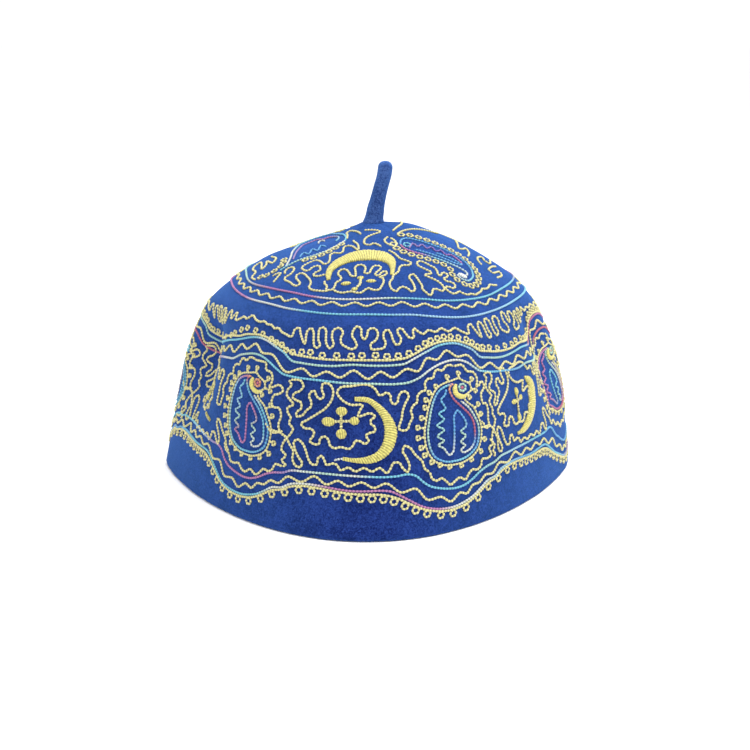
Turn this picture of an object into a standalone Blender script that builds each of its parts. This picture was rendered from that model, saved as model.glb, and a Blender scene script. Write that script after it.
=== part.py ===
"""Blocked wool felt kufi cap with a small rolled felt stalk on top.

Metres, +Z up. The wearer faces -Y. The origin is on the surface that the cap stands on, in the
middle of its outline seen from above. The crown is one piece of felt: a flared rim, a wall that
leans in, a turned shoulder and a low dome, hollow and open below.
"""

import math

import bmesh
import bpy
import numpy as np

MM = 0.001

# Felt
FELT_THICKNESS = 2.5 * MM
SEAT_GAP = 0.3 * MM

# The outline of the crown, one row for each level ring, from the rim to the seat of the stalk.
# half_width, front and back are reaches from the cap's axis. point is the sharpness of the two
# side corners, where the cap has been folded flat: 1 is an ellipse. tilt lifts the ring's +X side.
SECTION_COLUMNS = ("height", "half_width", "centre_x", "front", "back", "point", "tilt")
CROWN_SECTIONS_MM = (
    (0.0, 87.4, 0.0, 114.0, 92.0, 1.62, 0.0),
    (17.0, 84.9, 0.8, 108.0, 90.0, 1.57, 0.0),
    (34.0, 82.3, 1.8, 102.0, 87.5, 1.50, 0.0),
    (51.0, 78.2, 1.9, 94.0, 84.0, 1.41, 0.0),
    (63.5, 73.1, 1.8, 86.0, 79.5, 1.33, 0.0),
    (72.5, 68.4, 1.9, 78.0, 74.5, 1.25, 0.0),
    (80.5, 60.5, 2.5, 66.0, 65.0, 1.15, 0.4),
    (89.0, 48.0, 3.0, 51.0, 51.0, 1.10, 0.4),
    (97.4, 29.0, 3.4, 31.0, 31.0, 1.05, 1.5),
    (102.4, 14.0, 3.0, 14.5, 14.5, 1.00, 1.7),
    (104.8, 4.7, 2.6, 4.7, 4.7, 1.00, 0.0),
)

# Half the difference between the front and back reach of the rim centres the cap on the origin.
AXIS_Y = 0.5 * (114.0 - 92.0) * MM

# The two dents in the soft wall, pressed towards the axis. around and the two half widths are
# degrees round the cap from the middle of the front; inner is the side nearer the front.
# girth, below and above are distances up the wall from the rim, and depth is how far it is pressed.
DENT_COLUMNS = ("name", "around", "inner", "outer", "girth", "below", "above", "depth")
DENTS = (
    ("left_front", -66.0, 18.0, 20.0, 50.0, 33.0, 31.0, 11.0),
    ("right_front", 65.0, 11.0, 16.0, 58.0, 40.0, 26.0, 4.0),
)

# The stalk, one row for each level ring: height above its foot, lean towards +X, and radius.
STEM_COLUMNS = ("height", "centre_x", "radius")
STEM_SECTIONS_MM = (
    (0.0, 2.6, 4.35),
    (1.6, 2.9, 4.05),
    (5.8, 3.7, 3.75),
    (10.6, 4.9, 3.32),
    (15.5, 6.1, 3.18),
    (20.0, 7.3, 3.06),
    (22.6, 7.7, 3.02),
)
STEM_END_HEIGHT = 2.9 * MM
STEM_END_RINGS = 4

# How finely the faces follow the curves
CROWN_SIDES = 76
OUTER_RINGS = 28
INNER_RINGS = 22
STEM_SIDES = 20
NORMAL_STEP_ROUND = math.radians(1.0)
NORMAL_STEP_UP = 0.2 * MM

FELT_BLUE = (0.028, 0.075, 0.36, 1.0)


def column(rows, names, name):
    """One named column of a table as an array."""
    place = names.index(name)
    return np.array([row[place] for row in rows], dtype=float)


def smooth_table(distance, knots, values):
    """Cubic Hermite curve through the rows, with slopes weighted from both neighbours."""
    gap = np.diff(knots)
    rise = np.diff(values) / gap
    slope = np.empty_like(values)
    slope[0] = rise[0]
    slope[-1] = rise[-1]
    slope[1:-1] = (rise[:-1] * gap[1:] + rise[1:] * gap[:-1]) / (gap[:-1] + gap[1:])
    distance = np.clip(distance, knots[0], knots[-1])
    row = np.clip(np.searchsorted(knots, distance, side="right") - 1, 0, len(gap) - 1)
    part = (distance - knots[row]) / gap[row]
    start = (1 + 2 * part) * (1 - part) ** 2 * values[row]
    leave = part * (1 - part) ** 2 * gap[row] * slope[row]
    end = part ** 2 * (3 - 2 * part) * values[row + 1]
    arrive = part ** 2 * (part - 1) * gap[row] * slope[row + 1]
    return start + leave + end + arrive


def crown_table():
    """The crown's columns in metres, and the girth distance from the rim to each row."""
    table = {}
    for name in SECTION_COLUMNS:
        scale = 1.0 if name == "point" else MM
        table[name] = column(CROWN_SECTIONS_MM, SECTION_COLUMNS, name) * scale
    steps = np.hypot(np.diff(table["height"]), np.diff(table["half_width"]))
    table["girth"] = np.concatenate([[0.0], np.cumsum(steps)])
    return table


CROWN = crown_table()
CROWN_GIRTH = CROWN["girth"][-1]


def dent_depth(around, girth):
    """How far the dents press the wall in: a sharp valley round the cap, a soft one up it."""
    pressed = np.zeros(np.broadcast(around, girth).shape)
    for _name, place, inner, outer, centre, below, above, depth in DENTS:
        off = (np.degrees(around) - place + 180.0) % 360.0 - 180.0
        towards_front = np.sign(off) == -np.sign(place)
        side = np.clip(np.abs(off) / np.where(towards_front, inner, outer), 0.0, 1.0)
        height = girth / MM - centre
        level = np.clip(np.where(height < 0.0, -height / below, height / above), 0.0, 1.0)
        valley = (1.0 - side) ** 2 * (1.0 + 1.2 * side)
        pressed = pressed + depth * MM * valley * (1.0 - level ** 2) ** 2
    return pressed


def crown_point(around, girth):
    """Outer face of the felt. around is the angle from the front towards +X."""
    around, girth = np.broadcast_arrays(around, girth)
    ring = {}
    for name in SECTION_COLUMNS:
        ring[name] = smooth_table(girth, CROWN["girth"], CROWN[name])
    sine = np.sin(around)
    cosine = np.cos(around)
    reach = np.where(cosine >= 0.0, ring["front"], ring["back"])
    pressed = dent_depth(around, girth)
    x = ring["centre_x"] + (ring["half_width"] - pressed) * sine
    y = AXIS_Y - reach * np.sign(cosine) * np.abs(cosine) ** ring["point"] + pressed * cosine
    z = ring["height"] + ring["tilt"] * sine
    return np.stack([x, y, z], axis=-1)


def crown_normal(around, girth):
    """Outward direction of the felt, from the slopes round and up the wall."""
    low = np.clip(girth - NORMAL_STEP_UP, 0.0, CROWN_GIRTH)
    high = np.clip(girth + NORMAL_STEP_UP, 0.0, CROWN_GIRTH)
    up = crown_point(around, high) - crown_point(around, low)
    right = crown_point(around + NORMAL_STEP_ROUND, girth)
    left = crown_point(around - NORMAL_STEP_ROUND, girth)
    normal = np.cross(right - left, up)
    return normal / np.linalg.norm(normal, axis=-1, keepdims=True)


def crown_rings(count):
    """Angles round the cap as a row, and girth distances as a column."""
    around = np.linspace(0.0, 2.0 * math.pi, CROWN_SIDES, endpoint=False)[None, :]
    girth = np.linspace(0.0, CROWN_GIRTH, count)[:, None]
    return around, girth


def outer_wall():
    return crown_point(*crown_rings(OUTER_RINGS))


def inner_wall():
    """The outer face moved in by the felt's thickness, with its rim cut level."""
    around, girth = crown_rings(INNER_RINGS)
    wall = crown_point(around, girth) - FELT_THICKNESS * crown_normal(around, girth)
    wall[0, :, 2] = 0.0
    return wall


def add_rings(mesh, rings):
    return [[mesh.verts.new(point) for point in ring] for ring in rings]


def join_rings(mesh, lower, upper):
    """A band of faces from one ring of points to the next, facing away from the axis."""
    for side in range(len(lower)):
        after = (side + 1) % len(lower)
        mesh.faces.new((lower[side], lower[after], upper[after], upper[side]))


def felt_material(name):
    material = bpy.data.materials.new(name)
    material.use_nodes = True
    shader = material.node_tree.nodes["Principled BSDF"]
    shader.inputs["Base Color"].default_value = FELT_BLUE
    shader.inputs["Roughness"].default_value = 0.92
    shader.inputs["Metallic"].default_value = 0.0
    material.diffuse_color = FELT_BLUE
    return material


def finish_object(name, mesh):
    """Put the built mesh into an object of its own, shaded smooth, with its felt."""
    bmesh.ops.recalc_face_normals(mesh, faces=mesh.faces)
    data = bpy.data.meshes.new(name)
    mesh.to_mesh(data)
    mesh.free()
    data.shade_smooth()
    data.set_sharp_from_angle(angle=math.radians(40.0))
    data.materials.append(felt_material(name + "_felt"))
    part = bpy.data.objects.new(name, data)
    bpy.context.scene.collection.objects.link(part)
    return part


def make_crown():
    mesh = bmesh.new()
    outer = add_rings(mesh, outer_wall())
    inner = add_rings(mesh, inner_wall())
    for lower, upper in zip(outer, outer[1:]):
        join_rings(mesh, lower, upper)
    for lower, upper in zip(inner, inner[1:]):
        join_rings(mesh, upper, lower)
    join_rings(mesh, inner[0], outer[0])
    mesh.faces.new(outer[-1])
    mesh.faces.new(inner[-1][::-1])
    return finish_object("crown", mesh)


def stem_sections():
    """Rows of height, centre and radius: the table, then a quarter round over the end."""
    rows = [tuple(value * MM for value in row) for row in STEM_SECTIONS_MM]
    height, centre, radius = rows[-1]
    for step in range(1, STEM_END_RINGS):
        turn = 0.5 * math.pi * step / STEM_END_RINGS
        rows.append((height + STEM_END_HEIGHT * math.sin(turn), centre, radius * math.cos(turn)))
    return rows


def make_stem():
    mesh = bmesh.new()
    foot = CROWN["height"][-1] + SEAT_GAP
    around = np.linspace(0.0, 2.0 * math.pi, STEM_SIDES, endpoint=False)
    rings = []
    for height, centre, radius in stem_sections():
        x = centre + radius * np.sin(around)
        y = AXIS_Y - radius * np.cos(around)
        z = np.full(STEM_SIDES, foot + height)
        rings.append(np.stack([x, y, z], axis=-1))
    rings = add_rings(mesh, rings)
    for lower, upper in zip(rings, rings[1:]):
        join_rings(mesh, lower, upper)
    mesh.faces.new(rings[0][::-1])
    height, centre, _radius = stem_sections()[-1]
    table_end = STEM_SECTIONS_MM[-1][STEM_COLUMNS.index("height")] * MM
    tip = mesh.verts.new((centre, AXIS_Y, foot + table_end + STEM_END_HEIGHT))
    for side in range(STEM_SIDES):
        mesh.faces.new((rings[-1][side], rings[-1][(side + 1) % STEM_SIDES], tip))
    return finish_object("stem", mesh)


def build():
    for old in list(bpy.data.objects):
        bpy.data.objects.remove(old, do_unlink=True)
    make_crown()
    make_stem()


build()
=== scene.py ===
# %% [markdown]
# # A felt kufi cap with chain stitch embroidery
# The cap is one skin of blocked wool felt. A hook needle has drawn thick thread through it in
# closed loops, so that every line on it is a small raised chain. The lesson works outward: first
# the frame and the camera, then the felt, the stalk, the threads, the filled shapes and last the
# finishes and the light.

import math

import bpy
import numpy as np
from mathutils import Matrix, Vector


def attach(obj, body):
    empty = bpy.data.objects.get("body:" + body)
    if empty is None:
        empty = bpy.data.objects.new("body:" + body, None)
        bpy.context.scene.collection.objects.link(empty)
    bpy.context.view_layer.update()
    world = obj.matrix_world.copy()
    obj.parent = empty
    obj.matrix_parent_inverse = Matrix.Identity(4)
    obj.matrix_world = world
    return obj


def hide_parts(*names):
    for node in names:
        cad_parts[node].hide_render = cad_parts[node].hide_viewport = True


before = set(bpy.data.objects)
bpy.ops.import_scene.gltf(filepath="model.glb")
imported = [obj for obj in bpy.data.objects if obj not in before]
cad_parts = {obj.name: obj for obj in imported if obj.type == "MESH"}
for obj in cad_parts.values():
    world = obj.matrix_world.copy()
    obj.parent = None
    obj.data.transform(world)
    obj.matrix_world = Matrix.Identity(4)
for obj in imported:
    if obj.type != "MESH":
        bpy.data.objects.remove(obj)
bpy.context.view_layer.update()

MM = 0.001

# %% [markdown]
# ## The camera
# The cap was photographed from the front, a little above it, with a fairly long lens: the rim
# shows as a shallow curve and the top is just seen. The height and distance follow from how much
# the rim's near edge drops below its two ends.

# %% the camera
CAMERA_PLACE = (0.0034, -0.703, 0.192)
CAMERA_TARGET = (0.0034, 0.011, 0.039)
CAMERA_LENS = 81.6


def new_object(name, data):
    """An object with that data, put in the scene."""
    made = bpy.data.objects.new(name, data)
    bpy.context.scene.collection.objects.link(made)
    return made


def point_at(thing, place, target):
    """Put a camera or a lamp at the place and turn it to the target. Gives how far that is."""
    thing.location = place
    aim = Vector(target) - Vector(place)
    thing.rotation_euler = aim.to_track_quat("-Z", "Y").to_euler()
    return aim.length


camera_data = bpy.data.cameras.new("camera")
camera_data.sensor_width = 36.0
camera_data.lens = CAMERA_LENS
camera_data.clip_end = 60.0
camera = new_object("camera", camera_data)
camera_distance = point_at(camera, CAMERA_PLACE, CAMERA_TARGET)
bpy.context.scene.camera = camera
print("camera distance", round(camera_distance, 3))

# %% [markdown]
# ## The shape of the felt
# Wool felt is wetted and pulled over a block, so the cap is a smooth shape of level rings: a
# flared rim, a wall that leans in, a soft turned shoulder and a low dome. It was folded flat
# before it was worn, which leaves the two side corners slightly pointed and two dents in the
# wall. Each row gives one level ring. Every point of the felt is then a formula of the angle round
# the cap and the girth, which is the distance up the wall from the rim.

# %% the surface of the cap
SECTION_COLUMNS = ("height", "half_width", "centre_x", "front", "back", "point", "tilt")
CROWN_SECTIONS_MM = (
    (0, 87.4, 0, 114, 92, 1.62, 0),
    (17, 84.9, 0.8, 108, 90, 1.57, 0),
    (34, 82.3, 1.8, 102, 87.5, 1.50, 0),
    (51, 78.2, 1.9, 94, 84, 1.41, 0),
    (63.5, 73.1, 1.8, 86, 79.5, 1.33, 0),
    (72.5, 68.4, 1.9, 78, 74.5, 1.25, 0),
    (80.5, 60.5, 2.5, 66, 65, 1.15, 0.4),
    (89, 48, 3, 51, 51, 1.10, 0.4),
    (97.4, 29, 3.4, 31, 31, 1.05, 1.5),
    (102.4, 14, 3, 14.5, 14.5, 1.00, 1.7),
    (104.8, 4.7, 2.6, 4.7, 4.7, 1.00, 0),
)
DENT_COLUMNS = ("name", "around", "inner", "outer", "girth", "below", "above", "depth")
DENTS = (
    ("left_front", -66.0, 18.0, 20.0, 50.0, 33.0, 31.0, 11.0),
    ("right_front", 65.0, 11.0, 16.0, 58.0, 40.0, 26.0, 4.0),
)
AXIS_Y = 11.0 * MM
FELT_THICKNESS = 2.5 * MM
NORMAL_STEP_ROUND = math.radians(0.25)
NORMAL_STEP_UP = 0.2 * MM


def smooth_table(distance, knots, values):
    """Cubic Hermite curve: a row's slope is the weighted mean of the slopes on its two sides."""
    gap = np.diff(knots)
    rise = np.diff(values) / gap
    slope = np.empty_like(values)
    slope[0] = rise[0]
    slope[-1] = rise[-1]
    slope[1:-1] = (rise[:-1] * gap[1:] + rise[1:] * gap[:-1]) / (gap[:-1] + gap[1:])
    distance = np.clip(distance, knots[0], knots[-1])
    row = np.clip(np.searchsorted(knots, distance, side="right") - 1, 0, len(gap) - 1)
    part = (distance - knots[row]) / gap[row]
    start = (1 + 2 * part) * (1 - part) ** 2 * values[row]
    leave = part * (1 - part) ** 2 * gap[row] * slope[row]
    end = part ** 2 * (3 - 2 * part) * values[row + 1]
    arrive = part ** 2 * (part - 1) * gap[row] * slope[row + 1]
    return start + leave + end + arrive


sections = {}
for name, values in zip(SECTION_COLUMNS, zip(*CROWN_SECTIONS_MM)):
    sections[name] = np.array(values) * (1.0 if name == "point" else MM)
girth_steps = np.hypot(np.diff(sections["height"]), np.diff(sections["half_width"]))
SECTION_GIRTH = np.concatenate([[0.0], np.cumsum(girth_steps)])
CROWN_GIRTH = SECTION_GIRTH[-1]


def dent_depth(around, girth):
    """How far the dents press the wall in: a sharp valley round the cap, a soft one up it."""
    pressed = np.zeros(np.broadcast(around, girth).shape)
    for _name, place, inner, outer, centre, below, above, depth in DENTS:
        off = (np.degrees(around) - place + 180.0) % 360.0 - 180.0
        towards_front = np.sign(off) == -np.sign(place)
        side = np.clip(np.abs(off) / np.where(towards_front, inner, outer), 0.0, 1.0)
        height = girth / MM - centre
        level = np.clip(np.where(height < 0.0, -height / below, height / above), 0.0, 1.0)
        valley = (1.0 - side) ** 2 * (1.0 + 1.2 * side)
        pressed = pressed + depth * MM * valley * (1.0 - level ** 2) ** 2
    return pressed


def crown_point(around, girth):
    """Outer face: reach times sine and cosine of the angle, the cosine drawn to a point."""
    around, girth = np.broadcast_arrays(around, girth)
    ring = [smooth_table(girth, SECTION_GIRTH, column) for column in sections.values()]
    height, half_width, centre_x, front, back, point, tilt = ring
    sine = np.sin(around)
    cosine = np.cos(around)
    reach = np.where(cosine >= 0.0, front, back)
    pressed = dent_depth(around, girth)
    x = centre_x + (half_width - pressed) * sine
    y = AXIS_Y - reach * np.sign(cosine) * np.abs(cosine) ** point + pressed * cosine
    z = height + tilt * sine
    return np.stack([x, y, z], axis=-1)


def crown_normal(around, girth):
    """Outward direction: the slope round the cap crossed with the slope up the wall."""
    low = np.clip(girth - NORMAL_STEP_UP, 0.0, CROWN_GIRTH)
    high = np.clip(girth + NORMAL_STEP_UP, 0.0, CROWN_GIRTH)
    up = crown_point(around, high) - crown_point(around, low)
    right = crown_point(around + NORMAL_STEP_ROUND, girth)
    left = crown_point(around - NORMAL_STEP_ROUND, girth)
    normal = np.cross(right - left, up)
    return normal / np.linalg.norm(normal, axis=-1, keepdims=True)


print("girth from rim to stalk", round(CROWN_GIRTH / MM, 2), "mm")

# %% [markdown]
# ## A ruler for the embroidery
# An embroiderer marks the cloth with a chalk line and measures along it. Here the chalk line runs
# round the wall at mid height: arc is the distance in mm along it from the middle of the front,
# positive to the right, and girth is the height up the wall. The top is marked on a flat disc
# instead, with x to the right and front towards the wearer's forehead, both in mm from the middle.

# %% the two rulers
RULER_GIRTH = 42.2 * MM
RULER_STEPS = 2880
REPEATS = 6

ruler_around = np.linspace(-math.pi, math.pi, RULER_STEPS + 1)
ruler_points = crown_point(ruler_around, np.full(RULER_STEPS + 1, RULER_GIRTH))
ruler_steps = np.linalg.norm(np.diff(ruler_points, axis=0), axis=1) / MM
ruler_arc = np.concatenate([[0.0], np.cumsum(ruler_steps)])
ruler_arc -= ruler_arc[RULER_STEPS // 2]
ROUND = ruler_steps.sum()
PITCH = ROUND / REPEATS
TOP = CROWN_GIRTH / MM
SHORT_OF_TOP = 0.02


def wall_place(points):
    """Points (arc, girth) in mm to places on the felt and the directions out of it."""
    arc = (points[..., 0] - ruler_arc[0]) % ROUND + ruler_arc[0]
    around = np.interp(arc, ruler_arc, ruler_around)
    girth = np.clip(points[..., 1], 0.0, TOP - SHORT_OF_TOP) * MM
    return crown_point(around, girth), crown_normal(around, girth)


def top_place(points):
    """Points (x, front) on the flat disc: the angle gives the arc and the radius the girth."""
    turn = np.arctan2(points[..., 0], points[..., 1])
    radius = np.hypot(points[..., 0], points[..., 1])
    return wall_place(np.stack([turn / (2 * math.pi) * ROUND, TOP - radius], axis=-1))


print("round the wall", round(ROUND, 1), "mm; one repeat", round(PITCH, 1), "mm")

# %% [markdown]
# ## The felt skin
# The felt is the same thickness all over, with a cut edge at the rim that has gone soft. The
# outer face is laid out in rings, the rim is rolled over in a half round and the inner face
# follows at the felt's thickness. Pressed felt is never quite flat, so slow lumps of a tenth of a
# millimetre are added along the outward direction.

# %% build the felt skin
SKIN_SIDES = 372
SKIN_OUTER = 128
SKIN_INNER = 44
EDGE_ROWS = 5
LUMP_COLUMNS = ("count", "rate", "phase", "size")
LUMP_WAVES = (
    (7, 60, 0.3, 0.07),
    (11, 95, 1.9, 0.05),
    (17, 150, 4.1, 0.05),
    (29, 210, 2.2, 0.035),
    (41, 330, 5.5, 0.025),
)


def new_mesh_object(name, vertices, faces):
    """One smooth mesh object at the origin from an array of places and a list of faces."""
    data = bpy.data.meshes.new(name)
    data.from_pydata(vertices.tolist(), [], faces)
    data.polygons.foreach_set("use_smooth", np.ones(len(data.polygons), dtype=bool))
    data.update()
    return new_object(name, data)


def ring_faces(rows, sides, start=0):
    """Four-cornered faces between rings that follow each other in one run of points."""
    row = np.arange(rows - 1)[:, None] * sides + start
    side = np.arange(sides)[None, :]
    after = (side + 1) % sides
    corners = [row + side, row + after, row + after + sides, row + side + sides]
    return np.stack(np.broadcast_arrays(*corners), axis=-1).reshape(-1, 4)


def closed_rings(rows, middles):
    """Points and faces of a run of rings, closed at its ends by fans to the two middles."""
    count, sides = rows.shape[:2]
    side = np.arange(sides)
    after = (side + 1) % sides
    first = count * sides
    last_row = first - sides
    start_fan = np.stack([after, side, np.full(sides, first)], axis=-1).tolist()
    end_fan = np.stack([last_row + side, last_row + after, np.full(sides, first + 1)], axis=-1)
    faces = ring_faces(count, sides).tolist() + start_fan + end_fan.tolist()
    return np.concatenate([rows.reshape(-1, 3), middles]), faces


def felt_lumps(around, girth):
    """Sum of slow waves, whole numbers of them round the cap so that the ends meet."""
    total = np.zeros(np.broadcast(around, girth).shape)
    for count, rate, phase, size in LUMP_WAVES:
        total = total + size * np.sin(count * around + phase) * np.sin(rate * girth + 2 * phase)
    return total * MM


around = np.linspace(0.0, 2 * math.pi, SKIN_SIDES, endpoint=False)[None, :]
edge_radius = 0.5 * FELT_THICKNESS
inner_girth = np.linspace(CROWN_GIRTH, edge_radius, SKIN_INNER)[:, None]
outer_girth = np.linspace(edge_radius, CROWN_GIRTH, SKIN_OUTER)[:, None]
inner_rows = crown_point(around, inner_girth) - FELT_THICKNESS * crown_normal(around, inner_girth)
outer_out = crown_normal(around, outer_girth)
outer_rows = crown_point(around, outer_girth)
outer_rows = outer_rows + outer_out * felt_lumps(around, outer_girth)[..., None]
roll = np.linspace(0.0, math.pi, EDGE_ROWS + 2)[1:-1, None, None]
edge_middle = 0.5 * (inner_rows[-1] + outer_rows[0])[None]
edge_across = 0.5 * (outer_rows[0] - inner_rows[-1])[None]
edge_drop = np.array([0.0, 0.0, -1.0]) * edge_middle[..., 2:3]
edge_rows = edge_middle - np.cos(roll) * edge_across + np.sin(roll) ** 0.6 * edge_drop
skin_rows = np.concatenate([inner_rows, edge_rows, outer_rows])
skin_rows[..., 2] = np.maximum(skin_rows[..., 2], 0.0)
skin_middles = np.stack([skin_rows[0].mean(axis=0), skin_rows[-1].mean(axis=0)])
skin_points, skin_faces = closed_rings(skin_rows, skin_middles)
skin = new_mesh_object("felt_skin", skin_points, skin_faces)
print("felt skin faces", len(skin_faces))

# %% [markdown]
# ## The stalk
# A narrow strip of felt rolled tight and sewn into the top, leaning to the right in the photo.
# Rings of the radius in the table are stacked along the lean. The foot spreads a little where the
# felt of the crown was pulled up round it, and the end is rounded off.

# %% build the stalk
STALK_COLUMNS = ("height", "centre_x", "radius")
STALK_MM = (
    (-0.3, 2.6, 4.60),
    (0.5, 2.7, 4.35),
    (1.6, 2.9, 4.05),
    (3.4, 3.3, 3.86),
    (5.8, 3.7, 3.72),
    (10.6, 4.9, 3.34),
    (15.5, 6.1, 3.18),
    (20, 7.3, 3.08),
    (22.6, 7.7, 3.02),
)
STALK_SIDES = 64
STALK_ROWS = 60
STALK_END = 2.9
STALK_END_STEPS = 12
STALK_FOOT = 105.1

stalk_table = np.array(STALK_MM)
foot_up, foot_x, _foot_radius = STALK_MM[0]
top_up, top_x, top_radius = STALK_MM[-1]
turn = np.linspace(0.0, 2 * math.pi, STALK_SIDES, endpoint=False)[None, :]
up = np.linspace(foot_up, top_up, STALK_ROWS)[:, None]
stalk_x = smooth_table(up, stalk_table[:, 0], stalk_table[:, 1])
stalk_r = smooth_table(up, stalk_table[:, 0], stalk_table[:, 2])
lump = 1 + 0.02 * np.sin(2 * turn + 0.2 * up) + 0.014 * np.sin(5 * turn - 0.4 * up + 1.0)
end = np.linspace(0.0, 0.5 * math.pi, STALK_END_STEPS)[1:-1, None]
ring_up = np.concatenate([up + 0 * turn, top_up + STALK_END * np.sin(end) + 0 * turn])
ring_x = np.concatenate([stalk_x + 0 * turn, np.full((len(end), STALK_SIDES), top_x)])
ring_r = np.concatenate([stalk_r * lump, top_radius * np.cos(end) ** 0.8 * lump[-1]])
stalk_rows = np.stack([
    ring_x + ring_r * np.sin(turn),
    -ring_r * np.cos(turn) + AXIS_Y / MM,
    ring_up + STALK_FOOT,
], axis=-1)
tips = np.array([
    [foot_x, AXIS_Y / MM, STALK_FOOT + foot_up],
    [top_x, AXIS_Y / MM, STALK_FOOT + top_up + STALK_END],
])
stalk_points, stalk_faces = closed_rings(stalk_rows, tips)
stalk = new_mesh_object("stalk", stalk_points * MM, stalk_faces)
print("stalk faces", len(stalk.data.polygons))

# %% [markdown]
# ## The threads
# Two kinds of thread were used: a plain pale gold for all the filling lines, and a variegated
# one for the borders and the paisleys, dyed so that it runs from pink through white and mint to
# cyan and blue. The colours are kept in a short list, and a thread that changes colour gets a few
# stops along its length.

# %% thread colours
THREADS = {
    "gold": (232, 224, 158),
    "satin_gold": (214, 204, 112),
    "white": (222, 228, 220),
    "mint": (176, 216, 200),
    "cyan": (122, 202, 226),
    "blue": (100, 172, 228),
    "pale_blue": (158, 206, 234),
    "lilac": (160, 138, 196),
    "pink": (190, 124, 176),
    "rose": (192, 100, 126),
    "orange": (226, 160, 120),
    "purple": (122, 96, 184),
}


def linear(colour):
    """Screen colour 0 to 255 to light, by the usual power curve of 2.2."""
    return (np.array(colour) / 255.0) ** 2.2


def stops_colour(value, stops):
    """Blend of the stops on both sides of each value, the stops being {value: thread}."""
    shades = np.array([linear(THREADS[thread]) for thread in stops.values()])
    blends = [np.interp(value, list(stops), shades[:, k]) for k in range(3)]
    return np.stack(blends, axis=-1)


print(len(THREADS), "thread colours")

# %% [markdown]
# ## Chain stitch as a raised strand
# Each stitch of the hook needle is a loop of about one and a half millimetres that starts inside
# the one before, so a line of them is a rounded strand that narrows where two loops meet. A
# strand is swept along the smoothed line on the felt: at every step the width and the rise
# follow a raised sine of the distance, and the section is a flattened ring whose lower side lies
# in the felt. The colour follows the same sine: painted shade where two loops meet and a slight
# painted highlight on each loop.

# %% the strand maker
STEP = 0.42
STITCH = 1.35
STRAND_SIDES = 6
STRAND_TAPER = 0.5
# The least value along one stitch, and how much the loop adds to it
STITCH_WIDTH = (0.70, 0.36)
STITCH_RISE = (0.55, 0.50)
# Colour factor along one stitch: painted shade where two loops meet, a slight painted highlight on each
# loop
STITCH_PAINTED_SHADING = (0.50, 0.62)
PAD_STEP = 0.4
PAD_SIDES = 12
PAD_FULL = 1.2
PAD_UNDER = -0.35


def reach_along(points, unit=1.0):
    """Distance of each point from the first one: the sum of the steps so far, in that unit."""
    steps = np.linalg.norm(np.diff(points, axis=0), axis=1) / unit
    return np.concatenate([[0.0], np.cumsum(steps)])


def line_at(at, reach, line):
    """The line's map points at those distances."""
    return np.stack([np.interp(at, reach, line[:, k]) for k in range(2)], axis=-1)


def unit_rows(vectors):
    """Each row divided by its length."""
    return vectors / (np.linalg.norm(vectors, axis=1, keepdims=True) + 1e-12)


def smooth_line(points, closed=False, turn=0.0):
    """A smooth line through the points. turn is what a closed line gains in x by its end."""
    points = np.asarray(points, dtype=float)
    lead = 0
    if closed:
        lead = 3
        points = np.concatenate([points[-3:] - (turn, 0.0), points, points[:4] + (turn, 0.0)])
    gaps = np.linalg.norm(np.diff(points, axis=0), axis=1)
    keep = np.concatenate([[True], gaps > 1e-6])
    points = points[keep]
    reach = reach_along(points)
    first = reach[lead]
    last = reach[-4] if closed else reach[-1]
    fine = np.linspace(first, last, max(8, int((last - first) / 0.2)))
    return np.stack([smooth_table(fine, reach, points[:, k]) for k in range(2)], axis=-1)


def even_steps(line, place, step, closed=False):
    """The line taken again at even real distances. Gives map points and the distances."""
    where, _out = place(line)
    reach = reach_along(where, MM)
    count = max(4, int(round(reach[-1] / step)))
    at = np.linspace(0.0, reach[-1], count, endpoint=not closed)
    return line_at(at, reach, line), at, reach[-1]


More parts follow.
